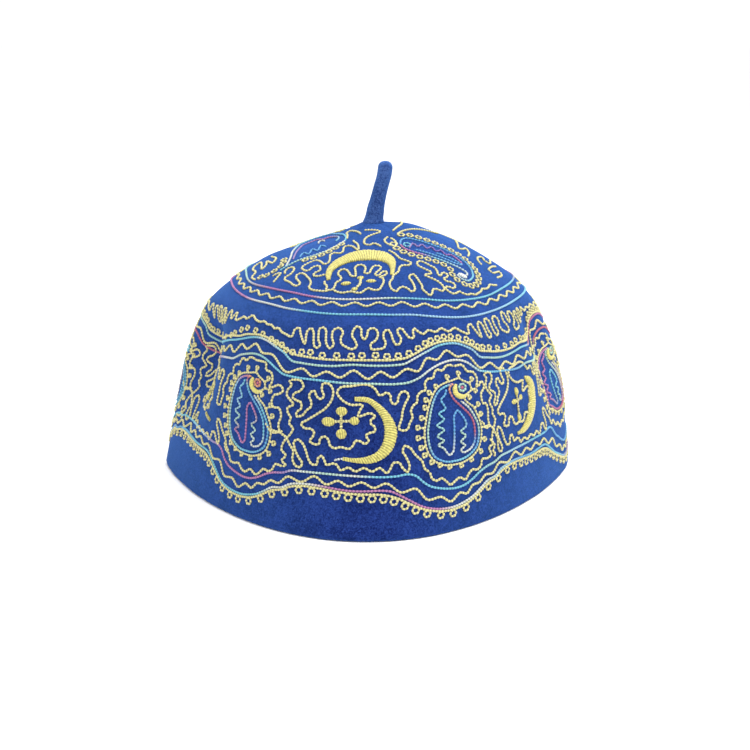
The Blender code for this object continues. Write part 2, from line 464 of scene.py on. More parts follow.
class Threads:
    """A growing pile of strands and pads that becomes one mesh object in the end."""

    def __init__(self):
        self.vertices = []
        self.faces = []
        self.colours = []
        self.weave = []
        self.count = 0
        self.length = 0.0

    def add(self, rings, shades, along, across, closed):
        """Put in one run of rings (rings, sides, 3) with its colours and thread directions."""
        rows, sides = rings.shape[:2]
        faces = ring_faces(rows, sides, self.count)
        if closed:
            last = self.count + (rows - 1) * sides + np.arange(sides)
            first = self.count + np.arange(sides)
            band = [last, np.roll(last, -1), np.roll(first, -1), first]
            faces = np.concatenate([faces, np.stack(band, axis=-1)])
        self.faces.extend(faces.tolist())
        if not closed:
            self.faces.append(list(range(self.count + sides - 1, self.count - 1, -1)))
            top = self.count + (rows - 1) * sides
            self.faces.append(list(range(top, top + sides)))
        self.vertices.append(rings.reshape(-1, 3))
        self.colours.append(np.broadcast_to(shades[:, None, :], (rows, sides, 3)).reshape(-1, 3))
        weave = np.stack(np.broadcast_arrays(along, across, 0.0), axis=-1)
        self.weave.append(weave.reshape(-1, 3))
        self.count += rows * sides

    def strand(self, points, shade, place=wall_place, width=1.02, rise=0.68, closed=False, turn=0.0):
        """A chain stitch line through the points. shade(map points, part of the way)."""
        line = smooth_line(points, closed, turn)
        spots, at, length = even_steps(line, place, STEP, closed)
        where, out = place(spots)
        if closed:
            ahead = np.roll(where, -1, axis=0) - np.roll(where, 1, axis=0)
        else:
            ahead = np.gradient(where, axis=0)
        side = unit_rows(np.cross(unit_rows(ahead), out))
        swell = np.sin(math.pi * (at / STITCH)) ** 2
        ends = np.ones(len(at))
        if not closed:
            to_end = np.minimum(at, length - at)
            ends = np.clip(to_end / STRAND_TAPER, 0.0, 1.0) ** 0.5 * 0.85 + 0.15
        profiles = (STITCH_WIDTH, STITCH_RISE, STITCH_PAINTED_SHADING)
        wide, high, light = (least + more * swell for least, more in profiles)
        wide = 0.5 * width * wide * ends
        high = rise * high * ends
        turn = np.linspace(0.0, 2 * math.pi, STRAND_SIDES, endpoint=False) + 0.5 * math.pi
        over = np.cos(turn)[None, :, None] * wide[:, None, None] * side[:, None, :]
        lift = (0.35 + 0.65 * np.sin(turn))[None, :, None] * high[:, None, None]
        rings = where[:, None, :] + (over + lift * out[:, None, :]) * MM
        # The thread colour gets painted shade where two loops meet and a slight painted highlight on
        # each loop
        shades = shade(spots, at / max(length, 1e-6)) * light[:, None]
        self.add(rings[:, ::-1], shades, at[:, None], -np.cos(turn)[None, ::-1], closed)
        self.length += length

    def pad(self, left, right, shade, place=wall_place, rise=0.9):
        """Satin stitch between two edge lines: threads laid across, domed in the middle."""
        lines = (smooth_line(left), smooth_line(right))
        part = np.linspace(0.0, 1.0, max(len(line) for line in lines))
        edges = []
        for line in lines:
            reach = reach_along(line)
            edges.append(line_at(part, reach / reach[-1], line))
        reach = reach_along(0.5 * (edges[0] + edges[1]))
        at = np.linspace(0.0, reach[-1], max(7, int(reach[-1] / PAD_STEP)))
        edges = [line_at(at, reach, edge) for edge in edges]
        turn = np.linspace(0.0, 2 * math.pi, PAD_SIDES, endpoint=False)
        mid = 0.5 * (edges[0] + edges[1])[:, None, :]
        out_half = 0.5 * (edges[0] - edges[1])[:, None, :]
        ragged = 1 + 0.07 * np.sin(at * 7.0) + 0.06 * np.sin(at * 4.1 + 1.0)
        spots = mid + out_half * np.cos(turn)[None, :, None] * ragged[:, None, None]
        where, out = place(spots)
        size = np.linalg.norm(out_half[:, 0], axis=1)
        tall = rise * np.clip(size / PAD_FULL, 0.25, 1.0)
        dome = np.where(np.sin(turn) > 0.01, np.abs(np.sin(turn)) ** 0.7, 0.0)
        low = np.where(np.sin(turn) < -0.01, PAD_UNDER, 0.0)
        lift = dome[None, :] * tall[:, None] + low[None, :]
        rings = where + out * lift[..., None] * MM
        if np.sum(np.cross(rings[1, 0] - rings[0, 0], rings[0, 3] - rings[0, 0]) * out[0, 0]) > 0:
            rings = rings[:, ::-1]
        shades = shade(mid[:, 0], at / max(reach[-1], 1e-6))
        across = np.cos(turn)[None, :] * size[:, None]
        self.add(rings, shades, at[:, None], across, False)

    def build(self, name):
        """All of it as one mesh with the colour and the thread direction on every point."""
        vertices = np.concatenate(self.vertices)
        piece = new_mesh_object(name, vertices, self.faces)
        data = piece.data
        colours = np.ones((len(vertices), 4))
        colours[:, :3] = np.concatenate(self.colours)
        shade = data.attributes.new("thread_colour", "FLOAT_COLOR", "POINT")
        shade.data.foreach_set("color", colours.ravel())
        weave = data.attributes.new("thread_run", "FLOAT_VECTOR", "POINT")
        weave.data.foreach_set("vector", np.concatenate(self.weave).ravel())
        triangles = sum(len(face) - 2 for face in self.faces)
        print(name, "triangles", triangles, "thread", round(self.length / 1000, 2), "m")
        return piece


def plain(thread):
    """A shade that is one thread colour all along."""
    colour = linear(THREADS[thread])
    return lambda spots, part: np.broadcast_to(colour, (len(spots), 3))


def by_arc(stops):
    """A shade whose stops are at arcs round the wall."""
    return lambda spots, part: stops_colour(wrap_arc(spots[:, 0]), stops)


def by_part(stops):
    """A shade whose stops are at parts of the line's length, 0 at its start and 1 at its end."""
    return lambda spots, part: stops_colour(part, stops)


def wrap_arc(arc):
    """The same arc counted from minus half a round to half a round."""
    return (arc + 0.5 * ROUND) % ROUND - 0.5 * ROUND


gold = plain("gold")
satin_gold = plain("satin_gold")

# %% [markdown]
# ## The borders
# Two bands run round the wall, one above the rim and one below the shoulder. Each is a pair of
# variegated lines with a gold wave between them, and outside each pair runs a gold line with a
# row of little loops. The bands dip and rise with the paisleys, so one repeat of each line was
# read off the cap and is used six times round. The two rings of the shoulder have no repeat.

# %% border charts
LINE_COLUMNS = ("arc", "girth")
LOWER_OUTER = (
    (-33, 16.4), (-30, 18), (-25, 19), (-20, 19.2), (-15, 18.9), (-10, 18.4), (-5, 18.1), (0, 18.2),
    (5, 18.3), (8, 17.9), (11, 16.5), (15, 14.2), (20, 11.4), (25, 9.9), (30, 9.3), (34, 9.4),
    (38, 10.2), (42, 11.4), (46, 13.4), (50, 15.5),
)
LOWER_LOOP_LINE = (
    (-33, 15.6), (-30, 17), (-25, 18.2), (-20, 18.3), (-15, 18), (-10, 17.5), (-5, 17.1), (0, 17),
    (5, 16.8), (10, 15.5), (15, 13), (20, 10.6), (25, 9.1), (30, 8.4), (35, 8.6), (40, 9.7), (45, 11.9),
    (50, 14.4),
)
LOWER_INNER = (
    (-30, 23), (-25, 23.4), (-20, 23.6), (-10, 23.6), (0, 23.3), (5, 23.1), (10, 23.2), (14, 23.6),
    (17, 22.8), (20, 20.3), (23, 18.3), (26, 17.3), (30, 16.4), (34, 16), (38, 16.4), (42, 17.8),
    (46, 19.8), (50, 21), (55, 21.8),
)
LOWER_WAVE = (
    (-25, 19.6), (-20, 22.3), (-15, 19.9), (-11, 21.5), (-7, 19.8), (-2.5, 21.3), (2, 19.4), (6, 20.8),
    (12, 17.3), (17, 18.2), (22, 13.6), (27.5, 13.8), (31.5, 11.5), (36, 13.9), (39, 13), (42, 15.5),
    (45.5, 15.8), (49, 17.9), (53, 17.6), (57, 20.6),
)
LOWER_LOOPS = (
    -31.6, -25.7, -20.6, -15.5, -11.2, -6.9, -2.6, 1.5, 5.5, 9.3, 13.3, 17.3, 21.7, 27.2, 32.5,
    38.5, 44.6, 50.4,
)
UPPER_INNER = (
    (-35, 57), (-20, 56.7), (-10, 56.3), (0, 56.3), (10, 56), (15, 56.3), (20, 57.8), (25, 60.3),
    (30, 62), (35, 62.8), (40, 62.6), (45, 61), (48, 59), (51, 57.3),
)
UPPER_WAVE = (
    (-36, 58.3), (-29, 60.3), (-24.5, 58), (-18, 60.1), (-12.5, 58.3), (-7, 61), (-1, 58.1), (4, 60.6),
    (8.5, 58.5), (15, 61.3), (19.5, 60.2), (24.5, 64.7), (29, 63.8), (34.5, 66.7), (40, 63.9),
    (45.5, 63.9),
)
UPPER_OUTER = (
    (-35, 62.8), (-30, 62.4), (-20, 62.2), (-15, 62.4), (-8, 63.1), (0, 62.9), (10, 62.9), (14, 63.2),
    (18, 64.7), (22, 66.2), (26, 67.5), (30, 68.7), (34, 69.2), (38, 69.2), (42, 68.6), (46, 67.2),
    (50, 65.3),
)
UPPER_LOOP_LINE = (
    (-34, 65.2), (-30, 65), (-20, 64.6), (-10, 64.8), (0, 64.9), (10, 64.9), (15, 65.4), (20, 67),
    (25, 68.8), (30, 69.9), (35, 70.3), (40, 70), (45, 68.9), (50, 67),
)
UPPER_LOOPS = (
    (-31.2, 66.5), (-26.8, 66.7), (-21, 66), (-14.5, 66.3), (-8.2, 66.3), (-3.7, 66.6), (2, 66.7),
    (6.8, 66.2), (11.6, 66.3), (16.4, 67), (20.8, 68.5), (24.5, 70.2), (27.3, 71), (31, 71.6),
    (34.6, 71.9), (38.5, 71.7), (42.9, 71), (47.5, 69.9), (50.6, 68.4), (53.6, 66.8),
)
UPPER_LOOPS_LEFT = (
    (-89.4, 65.5), (-82.2, 67.3), (-79.2, 68.6), (-74.4, 70.6), (-69.9, 71.9), (-62.9, 71.7),
    (-56.9, 70.9), (-50.3, 69.6), (-46.5, 68.6), (-42.9, 68.1), (-39.8, 66.4), (-36, 66),
)
SCALLOPS = (
    (-38, 72), (-37.5, 74.5), (-35.3, 75.4), (-33.5, 73), (-30.3, 69.6), (-30, 75), (-28.5, 75.7),
    (-27, 74.3), (-26.1, 71.1), (-25.3, 69.1), (-23.9, 68.6), (-22.6, 69.9), (-23.6, 71.1),
    (-24.2, 73.6), (-24.2, 75.8), (-22.3, 76.4), (-20.8, 75.2), (-20.4, 73), (-19.8, 70.5),
    (-17.9, 68.8), (-16.4, 70), (-17.5, 73), (-17.3, 75.5), (-14.7, 76.6), (-12.6, 74.6), (-13.3, 73),
    (-12.9, 70.8), (-10.8, 69.6), (-7.6, 68.9), (-6.1, 69.9), (-7, 72.1), (-8.3, 73.6), (-7.9, 76.1),
    (-6.4, 77.5), (-4.5, 76.4), (-4.2, 73.9), (-2.9, 72.5), (-1.7, 73.9), (-1.4, 75.8), (0.2, 76.8),
    (2.4, 76.1), (3.1, 74.6), (2.3, 72.4), (-0.1, 70.5), (0.2, 69.1), (3, 68.9), (5.8, 69.6),
    (6.4, 71.1), (5.5, 73.3), (5.8, 75.2), (7.5, 76.1), (8.9, 74.6), (9.6, 72.4), (11.1, 70.4),
    (12.7, 70.8), (13.3, 72.7), (12.1, 74.6), (12.1, 76.1), (13.9, 76.4), (15.5, 74.6), (17.4, 72.7),
    (19.3, 72.7), (19.3, 75.2), (19.9, 76.1), (21.8, 74.9), (24.3, 73.8), (26.8, 75), (31, 74.2),
    (34, 75.3), (38, 73.8), (42, 74.8), (46, 73),
)
SCALLOPS_LEFT = (
    (-100.4, 75.7), (-98.6, 70.4), (-93.3, 76.8), (-89.4, 73.4), (-85.8, 76.8), (-83.6, 73.7),
    (-79.7, 74.7), (-77.1, 75.9), (-74, 75.4), (-70.6, 77.3), (-66, 75.9), (-62, 75.4), (-59, 75.9),
    (-56.2, 75), (-53, 75), (-50.1, 73.9), (-47.5, 74.2), (-45, 73), (-42.3, 72.4),
)
SHOULDER_OUTER = (
    (-240, 83.5), (-180, 86), (-132, 87.4), (-108, 85.6), (-89, 84.4), (-60, 83.8), (-50, 83.2),
    (-40, 82.9), (-20, 82.4), (0, 82.6), (10, 82.3), (20, 81.9), (30, 80.7), (40, 79.5), (50, 78.7),
    (60, 78.5), (75, 78.9), (100, 80), (150, 81.5), (200, 82.4),
)
SHOULDER_WAVE = (
    (-240, 86.9), (-180, 89.3), (-130, 91), (-108, 88.9), (-60, 87.3), (-30, 87), (0, 87.3), (15, 87.2),
    (25, 86), (35, 85), (45, 83.9), (55, 83.2), (70, 83), (100, 84.2), (150, 85.4), (200, 86.2),
)
SHOULDER_INNER = (
    (-240, 90.4), (-180, 92.8), (-129, 94.6), (-107, 91.9), (-75, 91.5), (-60, 91.3), (-50, 91),
    (-40, 90.3), (-30, 89.8), (-20, 89.5), (0, 90), (8, 90.2), (20, 89.6), (30, 88.6), (40, 87.2),
    (50, 86.4), (60, 86), (75, 85.8), (100, 87.2), (150, 88.6), (200, 89.7),
)
# Hand work is never quite regular. Each row says how far the pattern is shifted round the cap,
# and how far it is lifted, in mm, by the lower border and by the upper border.
HAND_COLUMNS = ("arc", "shift_low", "shift_high", "lift_low", "lift_high")
HAND_WORK = (
    (-150, 0, 0, 0, 0), (-134, 0, 0, 4.6, -1.5), (-126, 0, 0, 4.2, -1),
    (-119, 0, 0, 3, -2.5), (-112, 0, 0, 2.4, -3.5), (-97, 0.4, -1, 2.5, -1.5),
    (-84, 0.8, -3, 1.9, 1), (-75, 1, -5, 0.8, 2.5), (-68, 1, -5, 0.1, 1),
    (-58, 1, -5, 0.3, 0), (-44, 1, -4.5, 0, 0), (-34, 0, 0, 0, 0),
    (50, 0, 0, 0, 0), (57, 0, 0, 0, -0.8), (62, 0, 0, 0, -1.8),
    (80, 0, 0, 0.4, -2.4), (87, 0, 0, 0.7, -1.5), (98, 0, 0, 0.8, -2.4),
    (108, 0, 0, 0.8, -4.2), (114, 0, 0, 0.2, 0.7), (125, 0, 0, -3, 0.8),
    (133, 0, 0, -4.5, 0.4), (150, 0, 0, 0, 0),
)
ROUND_STOPS = {
    "lower_outer": {
        -265: "mint", -215: "blue", -170: "white", -120: "blue", -90: "cyan", -75: "cyan", -45: "cyan",
        -38: "white", -22: "white", -14: "pink", 26: "pink", 34: "white", 46: "white", 58: "pale_blue",
        75: "blue", 110: "cyan", 140: "pink", 190: "white", 230: "cyan", 265: "mint",
    },
    "lower_inner": {
        -265: "pink", -210: "white", -160: "cyan", -110: "cyan", -90: "pale_blue", -76: "lilac",
        -68: "pink", -38: "pink", -32: "lilac", -27: "white", -15: "mint", -5: "white", 2: "cyan",
        44: "cyan", 55: "mint", 70: "pale_blue", 84: "cyan", 112: "blue", 140: "blue", 200: "mint",
        265: "pink",
    },
    "upper_inner": {
        -265: "cyan", -200: "pink", -120: "rose", -90: "lilac", -78: "white", -62: "mint", -45: "cyan",
        -18: "cyan", -8: "mint", 15: "mint", 25: "white", 44: "white", 54: "cyan", 74: "blue",
        90: "mint", 108: "mint", 114: "rose", 130: "rose", 180: "pink", 230: "white", 265: "cyan",
    },
    "upper_outer": {
        -265: "pink", -200: "white", -140: "mint", -90: "cyan", -62: "cyan", -52: "white", -40: "cyan",
        -33: "mint", 10: "mint", 18: "white", 30: "cyan", 50: "pale_blue", 62: "mint", 90: "cyan",
        106: "rose", 135: "pink", 160: "blue", 215: "mint", 265: "pink",
    },
    "shoulder_outer": {
        -265: "cyan", -200: "mint", -140: "pink", -92: "pink", -75: "white", -50: "white", -36: "cyan",
        5: "cyan", 18: "pale_blue", 75: "pale_blue", 130: "cyan", 190: "pink", 230: "lilac",
        265: "cyan",
    },
    "shoulder_inner": {
        -265: "white", -190: "cyan", -120: "mint", -75: "pink", -36: "pink", -26: "white", 0: "white",
        12: "mint", 22: "cyan", 118: "cyan", 150: "pink", 200: "lilac", 265: "white",
    },
}
COPIES = range(-3, 3)
BLEND_FROM = 25.0
BLEND_OVER = 30.0


def by_hand(points, lift=1.0):
    """Points as sewn: the table's low values, blended to its high ones further up the wall."""
    rows = np.array(HAND_WORK)
    up = np.clip((points[:, 1] - BLEND_FROM) / BLEND_OVER, 0.0, 1.2)
    low_shift, high_shift, low_lift, high_lift = (
        np.interp(points[:, 0], rows[:, 0], rows[:, k]) for k in range(1, 5)
    )
    shift = low_shift + (high_shift - low_shift) * up
    raised = low_lift + (high_lift - low_lift) * np.minimum(up, 1.0)
    return points + np.stack([shift, raised * lift], axis=-1)


def round_the_cap(chart, shifted=True):
    """One repeat's points used six times, in order round the cap."""
    chart = np.asarray(chart, dtype=float)
    points = np.concatenate([chart + (PITCH * copy, 0.0) for copy in COPIES])
    return by_hand(points) if shifted else points


# %% [markdown]
# ## Sewing the borders
# A loop of the needle that stands off the line is a picot. Below the lower line they hang as
# small open rings, and above the upper line they stand as flatter ones. Each is a short strand
# sewn back to where it began.

# %% sew the borders
COLOUR_WIDTH = 0.95
HANGING_LOOP = (1.2, 1.15)
HANGING_DROP = 1.45
UPPER_LOOP = (1.25, 0.9)
LOOP_LEVEL = 17.0
LEFT_SPLICE = (-101, -41)
SHOULDER_WAVES = 42
SHOULDER_WAVE_REACH = 0.85
WAVE_POINTS = 8


def ring_path(centre, wide, tall, start=0.5 * math.pi):
    """Eight points of an oval round the centre, from the side that touches the line."""
    turn = start + np.linspace(0.0, 2 * math.pi, 8, endpoint=False)
    return np.stack([centre[0] + wide * np.cos(turn), centre[1] + tall * np.sin(turn)], axis=-1)


def sew_round(pile, points, shade, width=1.02):
    """A strand that meets its own start after one round of the wall."""
    pile.strand(points, shade, width=width, closed=True, turn=ROUND)


borders = Threads()
coloured_lines = (
    (LOWER_OUTER, "lower_outer"),
    (LOWER_INNER, "lower_inner"),
    (UPPER_INNER, "upper_inner"),
    (UPPER_OUTER, "upper_outer"),
)
for chart, name in coloured_lines:
    sew_round(borders, round_the_cap(chart), by_arc(ROUND_STOPS[name]), COLOUR_WIDTH)
for chart in (LOWER_LOOP_LINE, LOWER_WAVE, UPPER_WAVE, UPPER_LOOP_LINE):
    sew_round(borders, round_the_cap(chart), gold)
borders_piece = borders.build("wall_borders")

loops = Threads()
loop_line = round_the_cap(LOWER_LOOP_LINE)
for copy in COPIES:
    for arc in LOWER_LOOPS:
        here = by_hand(np.array([[arc + PITCH * copy, LOOP_LEVEL]]))[0, 0]
        level = np.interp(wrap_arc(here), loop_line[:, 0], loop_line[:, 1], period=ROUND)
        centre = (here, level - HANGING_DROP)
        loops.strand(ring_path(centre, *HANGING_LOOP), gold, width=0.98, closed=True)
    upper_loops = by_hand(np.array(UPPER_LOOPS) + (PITCH * copy, 0.0))
    if copy == -1:
        upper_loops = np.concatenate([upper_loops[:4], UPPER_LOOPS_LEFT])
    for here in upper_loops:
        loops.strand(ring_path(here, *UPPER_LOOP), gold, width=0.95, closed=True)
scallop_points = round_the_cap(SCALLOPS, shifted=False)
before = scallop_points[scallop_points[:, 0] <= LEFT_SPLICE[0]]
behind = scallop_points[scallop_points[:, 0] >= LEFT_SPLICE[1]]
sew_round(loops, np.concatenate([before, SCALLOPS_LEFT, behind]), gold)
loops_piece = loops.build("wall_loops")

shoulder = Threads()
for chart, name in ((SHOULDER_OUTER, "shoulder_outer"), (SHOULDER_INNER, "shoulder_inner")):
    sew_round(shoulder, chart, by_arc(ROUND_STOPS[name]), COLOUR_WIDTH)
wave_count = SHOULDER_WAVES * WAVE_POINTS
wave_arc = np.linspace(-0.5 * ROUND, 0.5 * ROUND, wave_count, endpoint=False)
wave_chart = np.array(SHOULDER_WAVE, dtype=float)
wave_mean = np.interp(wave_arc, wave_chart[:, 0], wave_chart[:, 1], period=ROUND)
wave_turn = 2 * math.pi * SHOULDER_WAVES * wave_arc / ROUND
wave_girth = wave_mean + SHOULDER_WAVE_REACH * np.sin(wave_turn)
sew_round(shoulder, np.stack([wave_arc, wave_girth], axis=-1), gold)
shoulder_piece = shoulder.build("shoulder_rings")

# %% [markdown]
# ## The meander filling
# Between the borders one gold line wanders without crossing itself, loops round the flower and
# the crescent and echoes the paisley. Embroiderers call this vermicelli. It was read from the
# photo as five lines for one repeat of the wall.

# %% wall meander chart and sewing
MEANDER_PAISLEY_SIDE = (
    (-51, 60.6), (-49.8, 60.3), (-49, 58), (-45.5, 57), (-44.3, 55), (-44.8, 52.5), (-45.5, 51.7),
    (-43.5, 51.8), (-40.5, 53), (-38.5, 52.5), (-37.7, 51.2), (-39.5, 49.8), (-42, 49), (-42.8, 46),
    (-42, 44.8), (-38.5, 44.5), (-37.3, 42.5), (-38, 38), (-37, 36.2), (-34, 34.7), (-31.5, 32),
    (-30, 30.5), (-29.7, 27), (-28, 25), (-26, 25), (-25.5, 26), (-27.5, 28.5), (-29.5, 31.5),
    (-30, 33.5), (-28.5, 34.5), (-26.3, 33.5), (-24.5, 31), (-23, 28), (-21.5, 26.5), (-19.5, 26.7),
    (-19.3, 28.8), (-18, 29.8), (-16.8, 28.5), (-16, 27), (-13, 27.5), (-12, 27.2), (-10.5, 25.4),
    (-7.5, 26.4), (-5, 25.2), (-2, 26.4), (1, 25.2), (3.5, 26.4), (6.5, 24.6), (7.5, 26), (8.5, 28),
    (10.5, 28), (12, 26), (14, 24.5), (14.5, 26), (13, 30), (11.8, 32), (12.5, 33.8), (14.5, 33),
    (16.5, 30.5), (19.5, 27.5), (20.5, 25), (22.5, 23.5),
)
MEANDER_TO_PAISLEY = ((-37, 36.2), (-39, 35.5), (-41.5, 35.5), (-43.5, 37), (-45, 38.5))
ECHO_BELOW = (
    (22.5, 23.5), (23.8, 20.8), (25.5, 20), (27.5, 20.6), (29.5, 19.2), (31.5, 17.6), (33.5, 18.6),
    (35.5, 19.5), (38.5, 18.3), (40.3, 20.3), (42, 21.3), (44.5, 20.8), (46.5, 22), (47, 24),
    (50.5, 24), (52.3, 24.8), (51.2, 27.8), (53.5, 28.8), (51.8, 31),
)
ECHO_BELOW_LEFT = (
    (-34, 23.9), (-37.5, 24), (-38.5, 22), (-40, 21), (-43, 21.3), (-44.8, 19.5), (-46.5, 18.5),
    (-50, 19.8), (-52.5, 18.3), (-55, 18.9), (-57, 20.5), (-60, 20), (-62.5, 20.3), (-64, 22.5),
    (-67, 24), (-68.5, 26.5),
)
MEANDER_DOWN = (
    (-34.5, 55.7), (-35, 55.2), (-33.8, 54), (-35.5, 51.5), (-35.5, 50), (-33.5, 48.3), (-31.8, 47),
    (-34.5, 45), (-34, 43.5), (-32.5, 42), (-33, 40), (-31, 38), (-32, 36), (-33.8, 34), (-35, 32),
    (-35.3, 30), (-33, 28), (-34.5, 26), (-32.5, 24.5), (-34, 23.9),
)
MEANDER_FLOWER = (
    (-34.5, 55.8), (-29, 55.5), (-28, 54), (-29.5, 52), (-32, 50.8), (-32.5, 49.5), (-30.5, 48.5),
    (-28.5, 48), (-28, 46), (-30, 44), (-30, 43), (-27.5, 43.3), (-25.5, 45.5), (-23.8, 47), (-24, 49),
    (-25, 50.5), (-24.5, 52), (-23, 52.7), (-21.5, 50.7), (-20, 50), (-18.7, 51), (-19.7, 53.5),
    (-19.5, 55.5), (-17, 55.8), (-15, 53.5), (-15, 51), (-17, 47.5), (-21, 44.5), (-25, 42),
    (-27.5, 40.2), (-26, 39), (-23, 38.9), (-21.8, 38), (-22.3, 36), (-23.3, 34.8), (-21.5, 33.7),
    (-19.5, 34), (-19, 36), (-17.5, 36.8), (-16, 36), (-15, 33.8), (-13.5, 33), (-11, 33.5),
    (-7.5, 33.2), (-6.3, 34.5), (-5.8, 35.8), (-4, 35.9), (-2, 35), (-0.8, 36), (-1.8, 38),
    (-0.5, 38.8), (1.5, 39.5), (1.3, 41), (0, 42), (0, 43.5), (1.5, 44.5), (0.5, 45.5), (-1, 45.7),
    (-3, 45), (-4.8, 44.6), (-4, 47), (-3.2, 48.3), (-8, 48.7), (-11.5, 50.5), (-13.3, 53),
    (-12.5, 54.3), (-8, 55.3), (0, 55.5), (2, 54), (3, 52.3), (4.5, 52.3), (6, 53), (7.5, 52),
    (7.6, 50), (8.8, 48.8), (10, 49.3), (10.7, 51.5), (12, 53), (14, 52.9), (14.7, 51.5), (13.3, 49),
    (12, 46), (11.5, 43.5), (10.7, 41.5), (10.3, 40.2), (12, 39.3), (13.7, 39.7), (14.5, 41.5),
    (15.8, 44), (15.3, 46), (16.5, 48), (18, 49), (18.3, 51), (19.8, 52.5), (22, 53.2), (22, 55.5),
    (23.5, 57), (26, 57.3), (26.9, 59), (28, 60), (31, 59.6), (33, 61), (35, 61.2), (37, 60.6),
)
# Shift along the wall of the filling in the repeat to the right of the front paisley
RIGHT_SHIFT_COLUMNS = ("arc", "shift")
RIGHT_SHIFT = (
    (-51, 0), (-49.8, 3.5), (-49, 4.5), (-44, 4.5), (-36, 0.5), (-25, -3.5), (-11, -5), (18, -4),
    (24, -1),
)
# The paisley of that repeat starts at this arc. It is drawn in at its belly, stands a little
# higher and is a little shorter.
PAISLEY_FROM = 22.0
BELLY_GIRTH = 41.0
BELLY_HALF = 13.0
BELLY_PULL = 4.0
PAISLEY_FOOT = 26.0
RIGHT_FOOT = 28.6
RIGHT_HEIGHT = 0.93


def placed(chart, copy):
    """The chart's points in the repeat of that number, shifted as that repeat was sewn."""
    points = np.array(chart, dtype=float)
    if copy == 1:
        rows = np.array(RIGHT_SHIFT)
        in_paisley = points[:, 0] > PAISLEY_FROM
        points[:, 0] += np.interp(points[:, 0], rows[:, 0], rows[:, 1])
        belly = np.clip(1 - ((points[:, 1] - BELLY_GIRTH) / BELLY_HALF) ** 2, 0.0, 1.0)
        points[:, 0] -= in_paisley * BELLY_PULL * belly
        raised = RIGHT_FOOT + RIGHT_HEIGHT * (points[:, 1] - PAISLEY_FOOT)
        points[:, 1] = np.where(in_paisley, raised, points[:, 1])
    points[:, 0] += copy * PITCH
    return by_hand(points, 0.0) if copy == -1 else points


filling = Threads()
for copy in COPIES:
    for chart in (MEANDER_PAISLEY_SIDE, MEANDER_TO_PAISLEY, MEANDER_DOWN, MEANDER_FLOWER):
        filling.strand(placed(chart, copy), gold)
    echo = np.array(ECHO_BELOW_LEFT) if copy == -1 else placed(ECHO_BELOW, copy)
    filling.strand(echo, gold)
joint = np.stack([placed(MEANDER_FLOWER, -1)[-1], placed(MEANDER_PAISLEY_SIDE, 0)[0]])
filling.strand(joint, gold)
filling_piece = filling.build("wall_meander")

# %% [markdown]
# ## Crescents and flowers in satin stitch
# The thick shapes are filled with threads laid side by side across them, which makes a smooth
# padded shape. A crescent is the pad between its outer and inner arc. A petal is a pad whose two
# edges are the halves of an oval.

# %% wall crescent and flower
CRESCENT_OUTER = (
    (-9.9, 28.8), (-4, 28.1), (0, 28), (4.5, 29.5), (7.5, 32), (9.2, 35.5), (9.8, 39), (9, 42),
    (6.5, 46), (3, 49.2), (-1, 51.4), (-6.4, 51.6),
)
CRESCENT_INNER = (
    (-9.9, 30.1), (-5, 29.9), (-1, 30.6), (2, 32), (4.2, 35), (5, 39), (4.4, 43), (2.2, 46.5),
    (-1, 49.3), (-6.2, 50),
)
RIGHT_CRESCENT_OUTER = (
    (71.2, 28.5), (76.2, 28.5), (81.2, 30.3), (85.5, 33.7), (88.2, 37.5), (89.2, 41.3), (89.8, 44.6),
    (89.2, 46.9), (86.6, 49.2), (82.8, 50),
)
RIGHT_CRESCENT_INNER = (
    (70.6, 29.7), (73.1, 30.1), (76.5, 31.9), (80.5, 35.4), (82.6, 38.7), (83.5, 42.5), (84.2, 46.2),
    (82.4, 49.2),
)
PETAL_COLUMNS = ("arc", "girth", "wide", "tall")
RIGHT_PETALS = (
    (73.2, 45.4, 1.8, 3.4),
    (70.6, 41.8, 3.4, 2),
    (76.2, 42.6, 1.6, 2.2),
    (72.8, 35.2, 1.7, 3.6),
)
RIGHT_FLOWER_MIDDLE = (73.0, 41.6)
LEFT_STREAK = ((-92.5, 32.8), (-88.0, 32.2), (-83.5, 31.6))
CRESCENT_TAIL = ((-13.2, 28.6), (-11.4, 29.2), (-9.4, 29.5))
# The repeat on the left has no crescent, because the dent hides it, and the one on the right is
# charted on its own.
CRESCENT_COPIES = (-3, -2, 0, 2)
FLOWER_COPIES = (-3, -2, -1, 0, 2)
WALL_PETALS = (
    (-11.2, 46.2, 4.6, 3.2),
    (-6.2, 43, 3.8, 3),
    (-16.3, 42.2, 5.3, 3.3),
    (-11, 38.2, 4.1, 3.7),
)
WALL_FLOWER_MIDDLE = (-11.3, 42.6)


def oval_edges(centre, wide, tall):
    """The two halves of an oval, both from its left end to its right end."""
    turn = np.linspace(math.pi, 0.0, 9)
    x = centre[0] + 0.5 * wide * np.cos(turn)
    upper = np.stack([x, centre[1] + 0.5 * tall * np.sin(turn)], axis=-1)
    lower = np.stack([x, centre[1] - 0.5 * tall * np.sin(turn)], axis=-1)
    return upper, lower


def sew_flower(pile, petals, middle, along):
    """Petal pads and the short lines that join them to the middle. along moves the chart."""
    for arc, girth, wide, tall in petals:
        upper, lower = oval_edges((arc + along, girth), wide, tall)
        pile.pad(upper, lower, satin_gold)
        ends = ((middle[0] + along, middle[1]), (arc + along, girth))
        pile.strand(ends, gold, width=1.2)


satin = Threads()
for copy in CRESCENT_COPIES:
    satin.pad(placed(CRESCENT_OUTER, copy), placed(CRESCENT_INNER, copy), satin_gold)
    satin.strand(placed(CRESCENT_TAIL, copy), plain("white"), width=0.9)
for copy in FLOWER_COPIES:
    sew_flower(satin, WALL_PETALS, WALL_FLOWER_MIDDLE, copy * PITCH)
satin.strand(LEFT_STREAK, satin_gold, width=1.5)
satin.pad(RIGHT_CRESCENT_OUTER, RIGHT_CRESCENT_INNER, satin_gold)
sew_flower(satin, RIGHT_PETALS, RIGHT_FLOWER_MIDDLE, 0.0)

